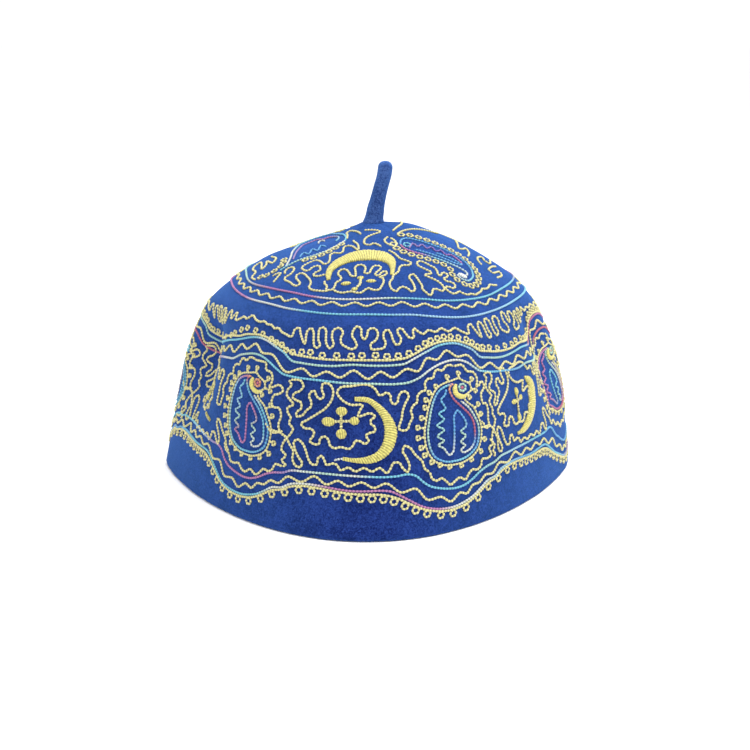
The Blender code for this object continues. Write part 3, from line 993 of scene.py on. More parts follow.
# %% [markdown]
# ## The paisleys
# Each paisley is sewn with variegated thread: it runs round the bulb to the curled tip, goes down
# inside as a zigzag, turns round a long loop and comes back up into the curl. Outside it a closed
# gold line carries small rings on short stems, and the curl is padded with satin stitch round a
# small eye. It is charted once, and each repeat has its own thread colours because the dye
# changes along the thread and not with the pattern.

# %% wall paisley chart and sewing
PAISLEY_OUTLINE = (
    (35, 54.1), (31.5, 53.6), (28, 52.2), (25.5, 49.5), (23.8, 46), (22.6, 42), (21.8, 38), (21.9, 35),
    (22.8, 31.5), (24.6, 28.7), (27, 27.2), (30, 26.2), (33.5, 26), (37, 26.2), (40, 27), (42, 28),
    (44, 29.5), (45.2, 32), (45.8, 35), (45.6, 37.5), (44.5, 40), (43, 42.5), (41, 45), (39, 46.5),
    (37.9, 47.4),
)
PAISLEY_INSIDE_LEFT = (
    (31.5, 52.5), (30.5, 50.5), (28.5, 49), (30, 45.5), (27, 44), (29, 41.8), (25.8, 39.8), (28.8, 38),
    (25.8, 36), (28.5, 34), (26, 32.8), (28.5, 31.2), (29.8, 29.5), (31, 28.5), (32.5, 29.5), (33, 32),
    (33.5, 38), (34.2, 43), (35.8, 44.2), (37, 43), (39.3, 38), (36.5, 36.3), (38.8, 34.5),
    (36.3, 32.5), (38.3, 31), (36.3, 29.5), (37.5, 28.3),
)
PAISLEY_INSIDE_RIGHT = (
    (37.5, 28.3), (41, 29.3), (42.8, 31), (43.6, 35), (43, 39.6), (41.2, 42.3), (38.8, 44.5),
    (36.6, 46.4), (34.6, 48.3), (33.4, 50.3), (32.9, 52.2), (33.7, 53.5), (35.5, 54.1),
)
PAISLEY_KNOTS = (
    (32.7, 57), (26.8, 54), (23.5, 52), (21.8, 49.5), (21.2, 46.8), (19.5, 43.2), (17.8, 39.9),
    (17.8, 36.2), (18.9, 32.6), (20.3, 29.8), (23.3, 27), (26.8, 25.5), (31, 24.3), (36.5, 23.9),
    (41.5, 25.2), (46.5, 27.3), (48.8, 31.5), (47.7, 41.2), (46.8, 45), (42.6, 48.2), (46.4, 50.2),
    (45.4, 54.7), (38.7, 57.7),
)
PAISLEY_GOLD_LINE = (
    (39.8, 48), (40.8, 49), (42.4, 49.9), (43.9, 50.6), (44.2, 51.8), (43.5, 53.2), (42, 54),
    (40.2, 54.8), (38.6, 55.8), (36.7, 55.7), (34.5, 55.3), (31.5, 54.9), (27.3, 53.4), (24.4, 50.2),
    (22.5, 46.4), (21.2, 42), (20.4, 38), (20.5, 34.8), (21.5, 31), (23.8, 27.8), (26.5, 26),
    (30, 24.9), (33.5, 24.7), (37.4, 24.9), (40.6, 25.8), (43, 26.9), (45.2, 28.8), (46.6, 31.8),
    (47.2, 35), (47, 37.8), (45.9, 40.6), (45, 42.6), (44, 44.4), (42, 45.8), (40.4, 47.1), (39.8, 48),
)
PAISLEY_BRANCH = ((47, 36.3), (50, 36), (52.5, 36.5))
PAISLEY_STOPS = {
    -1: {
        "outline": {0: "orange", 0.05: "pink", 0.12: "pale_blue", 0.3: "mint",
                    0.5: "cyan", 0.75: "blue", 0.9: "cyan", 1: "white"},
        "left": {0: "cyan", 0.15: "pale_blue", 0.3: "mint", 0.4: "pink",
                 0.75: "pink", 0.85: "mint", 1: "white"},
        "right": {0: "white", 0.12: "white", 0.25: "cyan", 0.7: "blue",
                  0.85: "cyan", 0.95: "rose", 1: "orange"},
        "curl": ("orange", "rose"),
    },
    0: {
        "outline": {0: "rose", 0.04: "cyan", 0.12: "blue", 0.22: "mint", 0.34: "mint",
                    0.45: "blue", 0.62: "cyan", 0.74: "blue", 0.84: "mint", 1: "white"},
        "left": {0: "blue", 0.15: "cyan", 0.35: "mint", 0.5: "white", 0.6: "blue",
                 0.75: "blue", 0.85: "mint", 1: "white"},
        "right": {0: "white", 0.12: "white", 0.22: "blue", 0.32: "rose",
                  0.8: "rose", 0.92: "orange", 1: "orange"},
        "curl": ("mint", "rose"),
    },
    1: {
        "outline": {0: "pink", 0.4: "pink", 0.7: "rose", 1: "white"},
        "left": {0: "pink", 0.4: "pink", 0.6: "cyan", 0.8: "cyan", 1: "mint"},
        "right": {0: "pink", 0.4: "white", 0.8: "mint", 1: "mint"},
        "curl": ("mint", "orange"),
    },
    2: {
        "outline": {0: "mint", 0.4: "white", 0.7: "cyan", 1: "blue"},
        "left": {0: "cyan", 0.5: "pink", 1: "white"},
        "right": {0: "blue", 0.4: "cyan", 0.8: "lilac", 1: "white"},
        "curl": ("cyan", "white"),
    },
}
CURL_FILL_OUTER = (
    (36, 54), (34.8, 52.6), (34.6, 50.8), (35.9, 49.1), (37.8, 48.1), (40, 48.1), (42.4, 49.3),
)
CURL_FILL_INNER = (
    (37.3, 53.6), (36.9, 52.2), (37.1, 50.8), (38.5, 50), (40.3, 49.6), (41.6, 49.9), (42.6, 50),
)
CURL_MIDDLE = (39.6, 52.2)
KNOT_RADIUS = 0.75
KNOT_STEM = 0.6
CURL_RING = (1.7, 1.3)
CURL_HEART = (1.5, 1.3)

paisleys = Threads()
for copy in COPIES:
    shades = PAISLEY_STOPS[copy if copy in PAISLEY_STOPS else copy + 4]
    gold_line = placed(PAISLEY_GOLD_LINE, copy)
    paisleys.strand(placed(PAISLEY_OUTLINE, copy), by_part(shades["outline"]), width=0.9)
    for chart, name in ((PAISLEY_INSIDE_LEFT, "left"), (PAISLEY_INSIDE_RIGHT, "right")):
        paisleys.strand(placed(chart, copy), by_part(shades[name]), width=0.84)
    paisleys.strand(gold_line, gold, width=0.84)
    paisleys.strand(placed(PAISLEY_BRANCH, copy), gold)
    knots = placed(PAISLEY_KNOTS, copy)
    carrier = smooth_line(gold_line)
    apart = np.linalg.norm(knots[:, None, :] - carrier[None, :, :], axis=2)
    roots = carrier[np.argmin(apart, axis=1)]
    for root, knot in zip(roots, knots):
        paisleys.strand((root, (1 - KNOT_STEM) * root + KNOT_STEM * knot), gold, width=1.1)
        paisleys.strand(ring_path(knot, KNOT_RADIUS, KNOT_RADIUS), gold, closed=True)
    fill = (placed(CURL_FILL_OUTER, copy), placed(CURL_FILL_INNER, copy))
    paisleys.pad(*fill, satin_gold, rise=0.7)
    ring_thread, heart_thread = shades["curl"]
    ring = placed(ring_path(CURL_MIDDLE, *CURL_RING), copy)
    paisleys.strand(ring, plain(ring_thread), closed=True)
    upper, lower = oval_edges(CURL_MIDDLE, *CURL_HEART)
    paisleys.pad(placed(upper, copy), placed(lower, copy), plain(heart_thread), rise=0.8)
paisleys_piece = paisleys.build("wall_paisleys")

# %% [markdown]
# ## The top
# Three paisleys, three crescents and three flowers share the dome round the stalk. They were
# read on the flat disc, with x to the right and front towards the forehead. The front crescent
# with its flower and the right paisley are turned about the middle to the places behind. The
# left paisley lies another way and has a chart of its own.

# %% top charts and sewing
TOP_CRESCENT_OUTER = (
    (-18.2, 44.9), (-18.7, 40.9), (-18, 37), (-16.8, 34.1), (-15, 31.3), (-12.1, 28.8), (-9.3, 26.6),
    (-6.1, 25.4), (-2.9, 25.2), (0.7, 26.3), (3.6, 27.7), (5.7, 30.2), (7.1, 32.7), (7.7, 36.3),
    (7.6, 39.9), (7.2, 44.1),
)
TOP_CRESCENT_INNER = (
    (-16.6, 44.9), (-16.2, 42), (-15.4, 39.1), (-13.6, 37), (-10.7, 35), (-7.1, 33.8), (-3.6, 33.6),
    (0, 34), (2.9, 35.2), (4.6, 37), (5.6, 39.9), (5.8, 44.1),
)
TOP_FLOWER_LINE = (
    (-18.9, 45.2), (-18.9, 47), (-17.9, 48.8), (-18.2, 50.6), (-15.7, 51.3), (-14.6, 49.1),
    (-14.3, 47.7), (-12.5, 46.3), (-12.3, 44.9), (-13.4, 42.7), (-13.2, 40.6), (-11.8, 39.3),
    (-10.4, 39.9), (-9.3, 42), (-8.2, 44.5), (-7.1, 44.9), (-6.8, 42), (-7, 39.1), (-6.1, 37.4),
    (-4.9, 37.1), (-3.7, 38.1), (-3.2, 40.6), (-3.4, 43.1), (-2.1, 43.4), (-1.1, 40.6), (0, 38.4),
    (1.4, 38.3), (2.3, 39.5), (1.8, 41.3), (0.7, 43.1), (0.4, 44.5), (1.4, 44.9), (2.9, 42.7),
    (3.9, 42), (4.6, 43.1), (3.6, 44.9), (2.1, 45.9), (3.2, 46.6), (3.6, 48.4), (2.9, 51.3),
    (2.1, 53.1), (0, 53.4), (-1.8, 52.4), (-2.9, 53.1), (-4.6, 54.7), (-6.4, 54.5), (-7.9, 53.8),
    (-12.1, 53.8), (-13.9, 52.9), (-15.4, 51.4),
)
TOP_PETALS = (
    (-10.4, 48.7, 4, 1.9),
    (-7, 52.4, 2.6, 1.8),
    (-1, 48.1, 3.8, 1.8),
    (-4.9, 45.9, 2.6, 1.8),
)
TOP_FLOWER_STEM = ((-4.6, 45.9), (-4.9, 47.7), (-5, 49.5), (-6.2, 51.6))
TOP_MEANDERS = (
    (
        (-7.1, 14.9), (-6.8, 16.6), (-5.9, 19.1), (-5.6, 22), (-5.9, 24.7), (-7, 22.4), (-7.9, 20.6),
        (-9.3, 19.5), (-10.9, 19.9), (-11.4, 21.6), (-11.6, 23.8), (-12.5, 25.2), (-13.9, 24.7),
        (-15.4, 23.8), (-16.8, 24.9), (-17.1, 27), (-17.1, 29.5), (-18, 32.4), (-19.3, 32.7),
        (-20.4, 30.9), (-21.8, 28.4), (-23.6, 27), (-25.4, 27.4), (-27.5, 28.4), (-28.9, 29.5),
        (-29.3, 30.9), (-28.6, 32.7), (-27.1, 34.5), (-25.7, 34.5), (-24.6, 33.1), (-22.9, 32.7),
        (-21.6, 33.4), (-21.1, 35.2), (-21.1, 37), (-23.2, 38.1), (-23.9, 39.5), (-22.9, 40.6),
        (-21.1, 41.1), (-18.6, 40.9),
    ),
    (
        (-37.1, 29.9), (-37, 27.4), (-35.7, 25.9), (-33.9, 26.3), (-32.9, 28.8), (-33.2, 30.6),
        (-34.6, 32.4), (-36.8, 33.1), (-37.1, 34.9), (-35.7, 37), (-34.3, 39.1), (-32.9, 41.6),
        (-31.1, 43.1), (-30, 42.7), (-30.7, 39.9), (-31.8, 37), (-31.4, 35.2), (-30, 34.9),
        (-28.2, 36.3), (-26.8, 39.1), (-25.4, 42), (-25, 44.9), (-25.7, 46.6), (-24.3, 48.8),
        (-21.8, 50.2), (-19.3, 51.3), (-17.1, 51.6),
    ),
    (
        (4.6, 26.2), (6.8, 28.7), (7.9, 30.5), (9.3, 32.6), (11.8, 33.7), (13.6, 35.1), (12.9, 36.6),
        (10, 37.6), (9.1, 39.4), (8.9, 41.6), (7.9, 43.4), (7.1, 44.4), (6.8, 46.6), (5.9, 48.7),
        (6.1, 51.2), (7.1, 53), (8.6, 53.7), (9.6, 51.9), (11.1, 50.9), (12.9, 51.6), (14.6, 52.9),
        (15.6, 52.3), (15.4, 49.4), (14.3, 46.9), (13.2, 44.8), (13.6, 43.4), (14.8, 42.6),
        (16.1, 44.1), (17.5, 46.6), (18.7, 48.7), (18.9, 50.5), (20.4, 51.9), (22.5, 53.1),
        (23.2, 51.9), (23.6, 49.4), (25.4, 48.6), (27.5, 48.9), (28.6, 47.3), (27.5, 45.1),
        (25.7, 43.7), (23.6, 42.9), (21.4, 42.4), (19.6, 41.6), (20.7, 40.7), (22.3, 39.8),
        (22.1, 38.7), (20.4, 37.9), (17.9, 36.9), (16.4, 35.9), (16.1, 34.1), (17.1, 32.6), (19.3, 33),
        (21.4, 34.1), (23.9, 35.1), (25, 36.9), (25.7, 39.1), (26.4, 39.4), (27.5, 36.9), (28.9, 36.2),
        (29.9, 37.3), (29.4, 39.1), (28.2, 40.5), (29.3, 41.6), (31.4, 41.2), (33.2, 41.6),
        (33.6, 43.4), (32.5, 44.8), (30.7, 44.8), (29.4, 45.5), (29.3, 46.6), (30.7, 47.6),
        (32.9, 47.9), (34.6, 46.6), (35.7, 45.1), (37.9, 45), (40, 44.4), (41.8, 42.6), (43.9, 41.6),
        (45, 39.8), (46.4, 37.3), (47.1, 34.4), (48.6, 33), (50, 30.1), (50.4, 27.3), (52.5, 25.1),
        (53.9, 23),
    ),
    ((7.5, 12.6), (10, 8.5), (13.5, 4.5), (18, 1), (23, -1.5)),
    ((7.1, -2), (7.5, 2.3), (6.8, 5.9), (5.7, 9.8)),
    ((4.3, 15.1), (3.2, 18), (5.4, 22.3), (6.8, 23), (7.1, 19.4), (5, 15.9)),
)
TOP_RIGHT_MEANDERS = (
    (
        (30.7, -2), (32.1, 2.3), (33.6, 6.6), (35, 4.4), (35.7, 1.9), (37.5, 4.4), (38.2, 8),
        (38.2, 10.9),
    ),
    ((47.1, -2), (47.1, 4.1), (45.4, 4.1), (43.6, 1.6), (42.1, 5.1), (42.9, 9.4), (45, 11.6)),
    (
        (50.7, 2.3), (49.3, 5.9), (48.6, 10.1), (48.6, 12.6), (50.7, 13), (51.8, 10.1), (53.2, 6.6),
        (54.6, 8.7), (54.3, 11.6), (53.2, 15.1),
    ),
)
STALK_FOOT_LINE = (
    (-2.4, 6.4), (-0.5, 7.2), (1.7, 10.2), (-0.9, 12.4), (-2.4, 14.2), (-3.4, 17.4), (-3, 20.4),
    (-1.6, 21.3), (-0.5, 20.2), (0.9, 21.4), (2.2, 23.4),
)
TOP_PAISLEY = {
    "upper": (
        (8.9, 21.4), (8.9, 20.1), (9.3, 17.3), (11.4, 15.5), (14.3, 15.3), (21.4, 15.5), (28.6, 15.9),
        (33.6, 16.9), (37.9, 19.4), (40.4, 22.3), (41.6, 25.9), (42, 29), (41.4, 31.6), (40, 34.4),
        (37.9, 35.5), (35.7, 35.1), (34.3, 33.4),
    ),
    "lower": (
        (8.9, 21.4), (10.7, 24.4), (14.3, 26.2), (20, 26.9), (25, 27.1), (30.7, 27.3), (35.7, 27.4),
        (38.6, 28.2), (39.3, 30), (38, 31.5),
    ),
    "inside": (
        (12.5, 23.5), (14.2, 19.2), (16.1, 21), (17.9, 18.4), (20, 20.6), (22, 18.2), (24.2, 20.6),
        (26.3, 18.2), (28.6, 20.6), (31, 18.6), (34, 20), (36.6, 22.4),
    ),
}
TOP_PAISLEY_LOOP = (
    (15, 24), (20, 24.6), (27, 24.8), (33.5, 24.9), (36.4, 23.6), (33, 22.6), (24, 22.4),
)
TOP_PICOTS = (
    (9, 13), (13, 12.2), (17.2, 12.3), (21.4, 12.4), (25.6, 12.6), (29.8, 13.1), (34, 14), (38, 16),
    (41.4, 19), (43.6, 22.8), (44.8, 26.8), (44.8, 31), (43.4, 35), (40.4, 38), (36.4, 38.2),
    (32.6, 36.4), (31.4, 32), (27.4, 30), (23.2, 29.8), (19, 29.6), (14.8, 28.9), (10.6, 27.3),
    (7.4, 24.2), (6.2, 20),
)
TOP_PAISLEY_SHADES = (
    {"upper": {0: "blue", 0.2: "blue", 0.6: "blue", 0.85: "cyan", 1: "white"},
     "lower": {0: "pink", 0.3: "pink", 0.5: "cyan", 1: "white"},
     "inside": {0: "lilac", 0.6: "purple", 1: "pink"}},
    {"upper": {0: "mint", 0.5: "white", 1: "cyan"},
     "lower": {0: "cyan", 0.5: "mint", 1: "pink"},
     "inside": {0: "white", 1: "cyan"}},
    {"upper": {0: "white", 0.25: "white", 0.4: "cyan", 0.7: "blue", 1: "cyan"},
     "lower": {0: "cyan", 0.3: "mint", 1: "white"},
     "inside": {0: "lilac", 0.4: "lilac", 0.7: "pink", 1: "cyan"}},
)
CRESCENT_TURNS = (0.0, 135.0, 223.0)
PAISLEY_TURNS = (0.0, 130.0)
PICOT_GAP = 18
TOP_PICOT = (1.25, 1.2)
TOP_LINE_WIDTHS = {"upper": 0.95, "lower": 0.95, "inside": 0.85}
TOP_CURL = ((11.6, 21.0), 1.4, 1.4)
TOP_TIP = ((37.2, 32.4), 4.6, 3.0)
LEFT_PAISLEY = {
    "lower": (
        (-39.5, 24.3), (-36.7, 23), (-34.2, 22.2), (-31.7, 21.3), (-28.5, 21), (-24.8, 21.1),
        (-22, 20.5), (-18.8, 19.8), (-15.9, 18), (-13.1, 16.3), (-10.2, 13.1),
    ),
    "upper": (
        (-36.7, 23), (-35.6, 18), (-34.5, 13.4), (-33.5, 8.3), (-31.6, 2.6), (-29, -2), (-25, -5.2),
        (-20, -5.5), (-15, -3.5), (-11.5, 0.5), (-9.6, 6), (-9.5, 10), (-10.2, 13.1),
    ),
    "inside": (
        (-33.5, 17), (-31.6, 8.6), (-29.1, 3.1), (-26.5, -0.5), (-24.3, -0.8), (-20.5, -1.2),
        (-17.2, 1.3), (-15.9, 1), (-14.1, 2.2), (-12.3, 5), (-12.5, 8.5), (-14, 10.6),
    ),
}
LEFT_PAISLEY_CURL = ((-21.0, 5.5), (-20.6, 3.6), (-19.5, 2.7), (-18.4, 3.6), (-18.2, 5.0))
LEFT_PICOTS = (
    (
        (-48.6, 19.3), (-45.9, 21.6), (-43.1, 21.7), (-39.8, 20.3), (-38, 16.8), (-37.2, 12),
    ),
    (
        (-28, 23.2), (-25.2, 23.6), (-22.4, 23.4), (-19.6, 22.4), (-17, 20.8), (-14.2, 18.7),
        (-11.6, 16),
    ),
    (
        (-31.5, -4.5), (-26.5, -8.4), (-20, -8.8), (-13.5, -6.6), (-9, -2),
    ),
)
LEFT_PAISLEY_ZIGZAG = (
    (-30.5, 17.5), (-28.5, 13), (-26.5, 17), (-24.5, 12), (-22.5, 16), (-20.5, 11), (-18.5, 14.5),
)
LEFT_MEANDERS = (
    ((-51.2, 18.9), (-52, 13.1), (-50.4, 11.3), (-50.4, 3.7), (-49, 0.9), (-47.2, 0),
     (-46.8, 11.3), (-45, 8.9), (-43.9, 4.1), (-42, 10.2), (-40.2, 7), (-41.1, -0.9)),
    ((-42.6, 32.3), (-40.5, 29.7), (-39.2, 27.4), (-40.9, 26.1), (-43.1, 26)),
    ((-9.3, 11.5), (-8.5, 7.2), (-8.2, 4.2), (-7, 3.3), (-5.1, 5.5), (-4.2, 7.6), (-3.9, 9.9)),
)


def turned(points, degrees):
    """The flat disc's points turned about the middle, from the front towards the right."""
    points = np.array(points, dtype=float)
    angle = math.radians(degrees)
    x = points[..., 0] * math.cos(angle) + points[..., 1] * math.sin(angle)
    front = points[..., 1] * math.cos(angle) - points[..., 0] * math.sin(angle)
    return np.stack([x, front], axis=-1)


top = Threads()


def sew_top(chart, shade, width=1.02, closed=False):
    """A strand on the top."""
    top.strand(chart, shade, top_place, width=width, closed=closed)


def sew_paisley(lines, shades, degrees=0.0):
    """The coloured lines of one of the top's paisleys, in the order of the dictionary."""
    for name, chart in lines.items():
        sew_top(turned(chart, degrees), by_part(shades[name]), TOP_LINE_WIDTHS[name])


def sew_picots(chart):
    """Small open rings at even gaps along the smooth line through the chart."""
    for centre in smooth_line(chart)[::PICOT_GAP]:
        sew_top(ring_path(centre, *TOP_PICOT), gold, 0.9, closed=True)


for chart in TOP_RIGHT_MEANDERS + LEFT_MEANDERS + (STALK_FOOT_LINE,):
    sew_top(chart, gold)
top_fillings = (TOP_MEANDERS, TOP_MEANDERS[2:], TOP_MEANDERS[:2])
for degrees, charts in zip(CRESCENT_TURNS, top_fillings):
    for chart in charts + (TOP_FLOWER_LINE,):
        sew_top(turned(chart, degrees), gold)
    sew_top(turned(TOP_FLOWER_STEM, degrees), gold, 1.3)
for degrees, shades in zip(PAISLEY_TURNS, TOP_PAISLEY_SHADES):
    sew_paisley(TOP_PAISLEY, shades, degrees)
    sew_top(turned(TOP_PAISLEY_LOOP, degrees), plain("blue"), 0.8)
    sew_top(turned(ring_path(*TOP_CURL), degrees), plain("cyan"), 0.8, closed=True)
    sew_picots(turned(TOP_PICOTS, degrees))
sew_paisley(LEFT_PAISLEY, TOP_PAISLEY_SHADES[2])
sew_top(LEFT_PAISLEY_CURL, plain("white"), 0.8)
sew_top(LEFT_PAISLEY_ZIGZAG, plain("blue"), 0.8)
for chart in LEFT_PICOTS:
    sew_picots(chart)
top_piece = top.build("top_embroidery")

for degrees in CRESCENT_TURNS:
    outer, inner = (turned(chart, degrees) for chart in (TOP_CRESCENT_OUTER, TOP_CRESCENT_INNER))
    satin.pad(outer, inner, satin_gold, top_place)
    for x, front, wide, tall in TOP_PETALS:
        upper, lower = turned(oval_edges((x, front), wide, tall), degrees)
        satin.pad(upper, lower, satin_gold, top_place)
for degrees in PAISLEY_TURNS:
    upper, lower = turned(oval_edges(*TOP_TIP), degrees)
    satin.pad(upper, lower, plain("white"), top_place, rise=0.6)
satin_piece = satin.build("satin_shapes")

# %% [markdown]
# ## Finishes that two materials share
# Felt is a mat of wool fibres lying every way: clouds of tone, a fine fibre grain and soft
# bumps. The cap and the stalk share it. Embroidery thread is two plies twisted together, so a
# strand carries slanting ridges. The chain lines and the satin shapes share that one. Each is a
# group with its own named inputs, and gives back only masks and a direction.

# %% shared groups
def set_inputs(thing, inputs):
    """Give each named input a number, a colour, or a link from the output that feeds it."""
    for key, value in inputs.items():
        if isinstance(value, bpy.types.NodeSocket):
            thing.id_data.links.new(value, thing.inputs[key])
        else:
            thing.inputs[key].default_value = value


def node(tree, kind, inputs=None, **settings):
    """One node of the tree, with its settings and its inputs."""
    made = tree.nodes.new("ShaderNode" + kind)
    for key, value in settings.items():
        setattr(made, key, value)
    set_inputs(made, inputs or {})
    return made


def maths(tree, operation, *values):
    """The output of one sum on numbers and outputs."""
    return node(tree, "Math", dict(enumerate(values)), operation=operation).outputs[0]


def mixed(tree, part, first, second):
    """The output of a blend: the first colour where part is 0, the second where it is 1."""
    return node(tree, "Mix", {0: part, 6: first, 7: second}, data_type="RGBA").outputs[2]


def new_group(name, inputs, outputs):
    """A group, its sockets (name, kind, value) in and (name, kind) out, and its two end nodes."""
    group = bpy.data.node_groups.new(name, "ShaderNodeTree")
    for label, kind, *value in inputs:
        socket = group.interface.new_socket(label, in_out="INPUT", socket_type="NodeSocket" + kind)
        if value:
            socket.default_value = value[0]
    for label, kind in outputs:
        group.interface.new_socket(label, in_out="OUTPUT", socket_type="NodeSocket" + kind)
    return group, group.nodes.new("NodeGroupInput").outputs, group.nodes.new("NodeGroupOutput")


felt_group, given, felt_end = new_group(
    "wool felt",
    (("Place", "Vector"), ("Grain per metre", "Float", 1500.0), ("Depth", "Float", 0.25)),
    (("Cloud", "Float"), ("Fibre", "Float"), ("Normal", "Vector")),
)
place = given["Place"]
cloud_noise = {"Vector": place, "Scale": 90.0, "Detail": 5.0, "Roughness": 0.65}
grain_noise = {"Vector": place, "Detail": 4.0, "Roughness": 0.7, "Distortion": 1.2}
wisp_noise = {"Vector": place, "Scale": 620.0, "Detail": 3.0, "Distortion": 2.2}
cloud = node(felt_group, "TexNoise", cloud_noise).outputs["Fac"]
grain = node(felt_group, "TexNoise", {**grain_noise, "Scale": given["Grain per metre"]})
wisp = node(felt_group, "TexNoise", wisp_noise)
fibre = maths(felt_group, "MULTIPLY_ADD", wisp.outputs["Fac"], 0.5, grain.outputs["Fac"])
bump = node(felt_group, "Bump", {"Distance": 0.0008, "Height": fibre, "Strength": given["Depth"]})
set_inputs(felt_end, {"Cloud": cloud, "Fibre": fibre, "Normal": bump.outputs["Normal"]})

thread_group, given, thread_end = new_group(
    "twisted thread",
    (
        ("Run", "Vector"), ("Turns per mm", "Float", 1.3), ("Slant", "Float", 1.0),
        ("Depth", "Float", 0.4),
    ),
    (("Ridge", "Float"), ("Normal", "Vector")),
)
run = node(thread_group, "SeparateXYZ", {0: given["Run"]}).outputs
slanted = maths(thread_group, "MULTIPLY_ADD", run["Y"], given["Slant"], run["X"])
turns = maths(thread_group, "MULTIPLY", slanted, given["Turns per mm"])
wave = maths(thread_group, "SINE", maths(thread_group, "MULTIPLY", turns, 2 * math.pi))
ridge = maths(thread_group, "MULTIPLY_ADD", wave, 0.5, 0.5)
bump = node(thread_group, "Bump", {"Distance": 0.00025, "Height": ridge, "Strength": given["Depth"]})
set_inputs(thread_end, {"Ridge": ridge, "Normal": bump.outputs["Normal"]})
print("groups", [group.name for group in bpy.data.node_groups])

# %% [markdown]
# ## Felt and thread
# Royal blue wool takes the dye unevenly. Its loose fibres catch the light where the felt is seen
# edge on, and that sheen is painted into the colour as a paler blue. The thread is cotton with a
# soft shine, and painted shade makes it a little darker down in the grooves of its twist.

# %% materials
FELT_SHADER = {
    "Roughness": 0.95,
    "Specular IOR Level": 0.04,
    "Sheen Weight": 0.10,
    "Sheen Roughness": 0.55,
    "Sheen Tint": (0.25, 0.5, 1.0, 1.0),
}
THREAD_SHADER = {"Specular IOR Level": 0.35, "Sheen Weight": 0.12}
FELT_DEEP = (0.0026, 0.0084, 0.070, 1.0)
FELT_LIGHT = (0.0175, 0.043, 0.220, 1.0)
# Paler blue mixed in where the felt is seen edge on: a painted sheen
FELT_PAINTED_SHEEN = (0.042, 0.185, 0.56, 1.0)
STALK_DEEP = (0.015, 0.037, 0.150, 1.0)
STALK_LIGHT = (0.060, 0.125, 0.350, 1.0)
PAINTED_SHEEN_PART = 0.42


def new_material(name, settings):
    """A material with its shader's sockets set by name. Gives it, its tree and its shader."""
    material = bpy.data.materials.new(name)
    material.use_nodes = True
    shader = material.node_tree.nodes["Principled BSDF"]
    set_inputs(shader, settings)
    return material, material.node_tree, shader


def felt_material(name, deep, light, painted_sheen):
    """Blue felt: deep and light blended by the clouds and fibres, and a painted sheen of paler blue
    where seen edge on.
    """
    material, tree, shader = new_material(name, FELT_SHADER)
    place = node(tree, "TexCoord").outputs["Object"]
    felt = node(tree, "Group", {"Place": place}, node_tree=felt_group).outputs
    amount = maths(tree, "MULTIPLY_ADD", felt["Cloud"], 0.35, felt["Fibre"])
    spread = node(tree, "MapRange", {"Value": amount, "From Min": 0.79, "From Max": 1.06})
    wool = mixed(tree, spread.outputs[0], deep, light)
    edge = node(tree, "LayerWeight", {"Blend": 0.3}).outputs["Facing"]
    # Painted sheen: the colour turns to a paler blue as the felt is seen more edge on
    with_painted_sheen = mixed(tree, maths(tree, "MULTIPLY", edge, PAINTED_SHEEN_PART), wool, painted_sheen)
    set_inputs(shader, {"Base Color": with_painted_sheen, "Normal": felt["Normal"]})
    return material


def thread_material(name, turns, slant, rough, blotch, painted_groove_shade):
    """Thread in the colour stored on its points, with painted shade darkening the grooves of the twist.
    """
    material, tree, shader = new_material(name, {**THREAD_SHADER, "Roughness": rough})
    colour = node(tree, "Attribute", attribute_name="thread_colour").outputs["Color"]
    run = node(tree, "Attribute", attribute_name="thread_run").outputs["Vector"]
    place = node(tree, "TexCoord").outputs["Object"]
    uneven = node(tree, "TexNoise", {"Vector": place, "Scale": 1300.0, "Detail": 3.0})
    laid = {"Run": run, "Turns per mm": turns, "Slant": slant}
    twist = node(tree, "Group", laid, node_tree=thread_group).outputs
    # Painted shade: the colour is darker down in the grooves of the twist
    painted_groove = node(tree, "MapRange", {"Value": twist["Ridge"], "To Min": painted_groove_shade, "To Max": 1.0})
    tone = node(tree, "MapRange", {
        "Value": uneven.outputs["Fac"],
        "From Min": 0.3,
        "From Max": 0.7,
        "To Min": 1.0 - blotch,
        "To Max": 1.0 + 0.5 * blotch,
    })
    both = maths(tree, "MULTIPLY", painted_groove.outputs[0], tone.outputs[0])
    shaded = node(tree, "VectorMath", {0: colour, "Scale": both}, operation="SCALE")
    set_inputs(shader, {"Base Color": shaded.outputs[0], "Normal": twist["Normal"]})
    return material


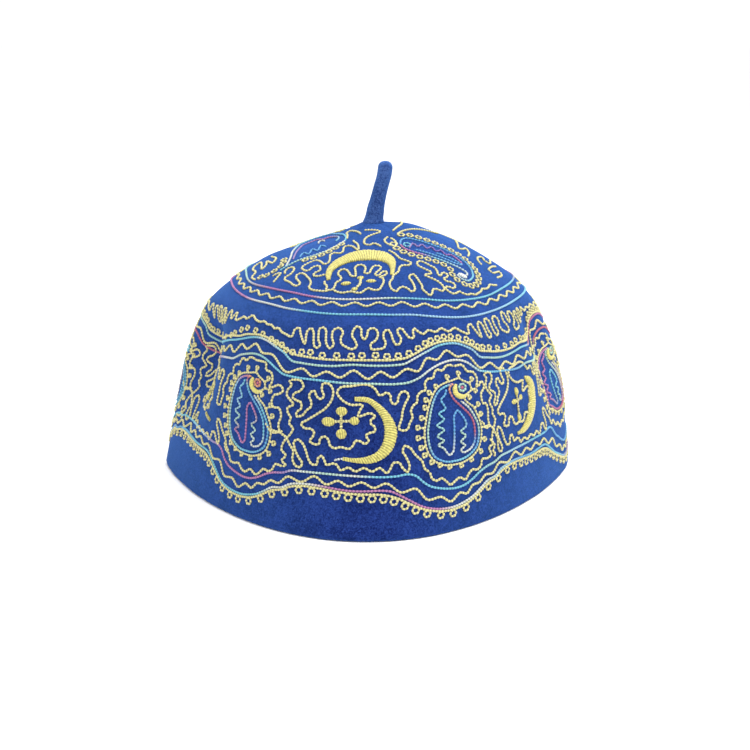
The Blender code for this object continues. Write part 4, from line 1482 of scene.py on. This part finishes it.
cap_felt = felt_material("blue_felt", FELT_DEEP, FELT_LIGHT, FELT_PAINTED_SHEEN)
stalk_felt = felt_material("stalk_felt", STALK_DEEP, STALK_LIGHT, FELT_PAINTED_SHEEN)
# The last number of each is the painted shade in the grooves of the twist
chain_thread = thread_material("chain_thread", 1.3, 0.5, 0.62, 0.18, 0.66)
satin_thread = thread_material("satin_thread", 1.1, 0.2, 0.55, 0.4, 0.5)

chain_pieces = (
    borders_piece, loops_piece, shoulder_piece, filling_piece, paisleys_piece, top_piece,
)
for piece in chain_pieces:
    piece.data.materials.append(chain_thread)
skin.data.materials.append(cap_felt)
stalk.data.materials.append(stalk_felt)
satin_piece.data.materials.append(satin_thread)
finishes = (cap_felt, stalk_felt, chain_thread, satin_thread)
print("materials", [material.name for material in finishes])

# %% [markdown]
# ## Joining the frame
# The felt skin and the stalk stand for the two solid pieces. All of it moves as one body, because
# a cap has no moving part.

# %% ride on the frame
for piece in (skin, stalk, *chain_pieces, satin_piece):
    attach(piece, "root")
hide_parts("crown")
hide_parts("stem")

# %% [markdown]
# ## Studio
# A white table and even white light from all round, with one broad lamp above and to the right,
# so that the top is the lightest part and the wall falls off softly.

# %% floor and light
FLOOR_HALF = 9.0
WORLD_STRENGTH = 1.04

floor_corners = FLOOR_HALF * np.array([(-1, -1, 0), (1, -1, 0), (1, 1, 0), (-1, 1, 0)])
floor = new_mesh_object("floor", floor_corners, [(0, 1, 2, 3)])
floor_settings = {"Base Color": (0.98, 0.98, 0.98, 1.0), "Roughness": 0.9}
floor_paint, _floor_tree, _floor_shader = new_material("white_table", floor_settings)
floor.data.materials.append(floor_paint)

LAMP_TARGET = (0.0, 0.0, 0.05)
LAMP_COLUMNS = ("name", "place", "size", "power")
LAMPS = (
    ("broad_top", (0.34, 0.1, 1.2), 0.9, 18.0),
    ("front_fill", (-0.5, -1.5, 0.9), 1.0, 2.0),
)
for name, place, size, power in LAMPS:
    light = bpy.data.lights.new(name, "AREA")
    light.size = size
    light.energy = power
    point_at(new_object(name, light), place, LAMP_TARGET)

world = bpy.data.worlds.new("white room")
bpy.context.scene.world = world
world.use_nodes = True
background = world.node_tree.nodes["Background"]
background.inputs["Color"].default_value = (1, 1, 1, 1)
background.inputs["Strength"].default_value = WORLD_STRENGTH
bpy.context.scene.view_settings.view_transform = "Standard"
